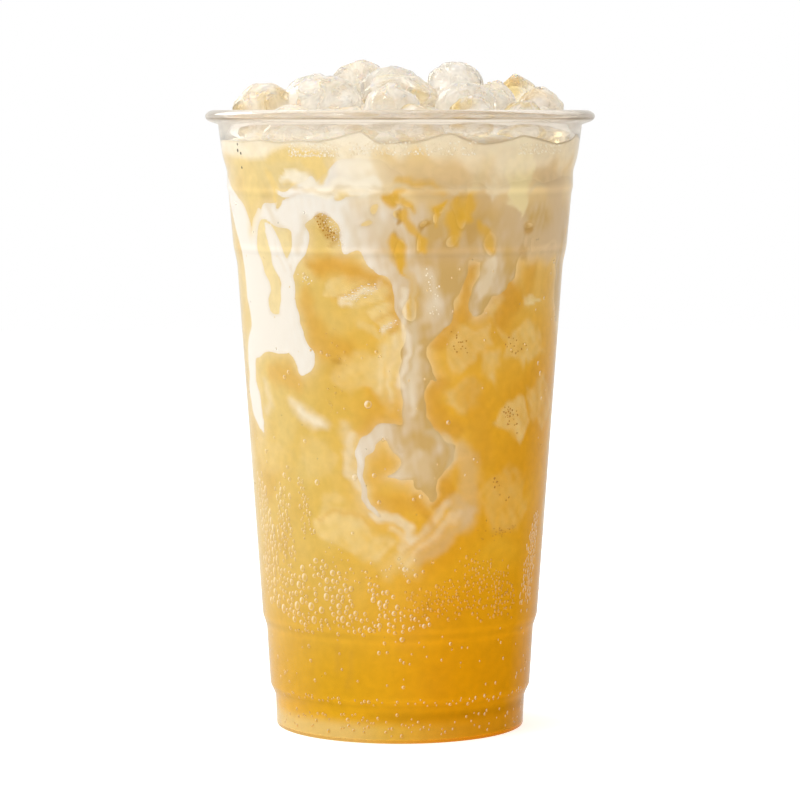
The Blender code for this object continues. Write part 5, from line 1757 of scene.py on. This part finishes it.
def studio_world():
    """White behind, seen straight or through clear things; reflections see a dark front and right."""
    world = bpy.data.worlds.new("white_studio")
    bpy.context.scene.world = world
    world.use_nodes = True
    tree = world.node_tree
    tree.nodes.clear()
    toward = (add_node(tree, "ShaderNodeTexCoord"), "Generated")
    path = add_node(tree, "ShaderNodeLightPath")
    lean = add_node(
        tree, "ShaderNodeVectorMath", operation="DOT_PRODUCT", in_0=toward, in_1=LIGHT_LEAN
    )
    fill = add_node(
        tree, "ShaderNodeMath", operation="MULTIPLY_ADD", in_0=(path, "Is Transmission Ray"), in_1=0.56,
        in_2=0.4,
    )
    soft = add_node(tree, "ShaderNodeMath", operation="ADD", in_0=(lean, "Value"), in_1=(fill, 0))
    seen = add_node(
        tree, "ShaderNodeVectorMath", operation="DOT_PRODUCT", in_0=toward, in_1=MIRROR_LEAN
    )
    mirror = add_node(
        tree, "ShaderNodeMath", operation="ADD", use_clamp=True, in_0=(seen, "Value"), in_1=0.08
    )
    reflected = add_node(
        tree, "ShaderNodeMath", operation="SUBTRACT", use_clamp=True, in_0=(path, "Is Glossy Ray"),
        in_1=(path, "Is Transmission Ray"),
    )
    level = add_node(
        tree, "ShaderNodeMix", data_type="FLOAT", in_0=(reflected, 0), in_2=(soft, 0), in_3=(mirror, 0)
    )
    strength = add_node(
        tree, "ShaderNodeMix", data_type="FLOAT", in_0=(path, "Is Camera Ray"), in_2=(level, 0), in_3=1.0
    )
    tint = add_node(
        tree, "ShaderNodeMix", data_type="RGBA", in_0=(path, "Is Camera Ray"),
        in_6=LIGHT_WARMTH, in_7=(1.0, 1.0, 1.0, 1.0),
    )
    light = add_node(tree, "ShaderNodeBackground", Color=(tint, 2), Strength=(strength, 0))
    output = tree.nodes.new("ShaderNodeOutputWorld")
    tree.links.new(light.outputs[0], output.inputs["Surface"])


def studio_floor(radius):
    """A matt white table that meets the white behind it without a line."""
    material, tree, output = new_material("matt_white_table")
    surface = add_node(tree, "ShaderNodeBsdfDiffuse", Color=(0.82, 0.81, 0.79))
    glow = add_node(tree, "ShaderNodeEmission", Color=(1.0, 1.0, 1.0), Strength=0.62)
    both = add_node(tree, "ShaderNodeAddShader", in_0=(surface, 0), in_1=(glow, 0))
    tree.links.new(both.outputs[0], output.inputs["Surface"])
    turns = np.linspace(0, 2 * pi, TABLE_SIDES, endpoint=False)
    spots = level_ring(turns, radius, -0.02 * MM) / MM
    mesh = mesh_from("table", spots, [list(range(TABLE_SIDES))], smooth=False)
    floor = bpy.data.objects.new("table", mesh)
    floor.data.materials.append(material)
    floor.visible_glossy = False
    bpy.context.scene.collection.objects.link(floor)


class SodaStage(Operator):
    """Sets the table, the soft lights, the white surround and the camera."""

    bl_idname = "soda.stage"
    bl_label = "Stage"

    def execute(self, context):
        settings = context.scene.soda_stage
        studio_world()
        studio_floor(settings.floor)
        for name, place, size, power, colour in LAMPS:
            soft_lamp(name, place, size, getattr(settings, power), colour)
        data = bpy.data.cameras.new("camera")
        data.lens = settings.lens
        data.sensor_width = 36.0
        data.clip_start = 0.01
        camera = bpy.data.objects.new("camera", data)
        camera.location = (0, -settings.distance, settings.height)
        camera.rotation_euler = (pi / 2 - settings.tilt, 0, 0)
        context.scene.collection.objects.link(camera)
        context.scene.camera = camera
        context.scene.view_settings.view_transform = "Standard"
        return {"FINISHED"}


class SodaPanel(Panel):
    """Lists the pieces and their settings in the sidebar."""

    bl_idname = "VIEW3D_PT_soda"
    bl_label = "Iced Soda"
    bl_space_type = "VIEW_3D"
    bl_region_type = "UI"
    bl_category = "Iced Soda"

    def draw(self, context):
        for settings_name, _, operators in SECTIONS:
            box = self.layout.box()
            settings = getattr(context.scene, settings_name)
            for name in settings.__annotations__:
                box.prop(settings, name)
            for operator in operators:
                box.operator(operator.bl_idname)


SECTIONS = (
    ("soda_cup", SodaCupSettings, (SodaCup,)),
    ("soda_drink", SodaDrinkSettings, (SodaDrink,)),
    ("soda_cream", SodaCreamSettings, (SodaCream,)),
    ("soda_bubbles", SodaBubbleSettings, (SodaBubbles,)),
    ("soda_ice", SodaIceSettings, (SodaIce,)),
    ("soda_droplets", SodaDropletSettings, (SodaDroplets,)),
    ("soda_stage", SodaStageSettings, (SodaStage,)),
)


def register():
    for settings_name, group, operators in SECTIONS:
        bpy.utils.register_class(group)
        setattr(bpy.types.Scene, settings_name, PointerProperty(type=group))
        for operator in operators:
            bpy.utils.register_class(operator)
    bpy.utils.register_class(SodaPanel)


def unregister():
    bpy.utils.unregister_class(SodaPanel)
    for settings_name, group, operators in reversed(SECTIONS):
        for operator in reversed(operators):
            bpy.utils.unregister_class(operator)
        delattr(bpy.types.Scene, settings_name)
        bpy.utils.unregister_class(group)


def main():
    register()
    bpy.ops.soda.cup()
    bpy.ops.soda.drink()
    bpy.ops.soda.cream()
    bpy.ops.soda.bubbles()
    bpy.ops.soda.ice()
    bpy.ops.soda.droplets()
    bpy.ops.soda.stage()


if __name__ == "__main__":
    main()
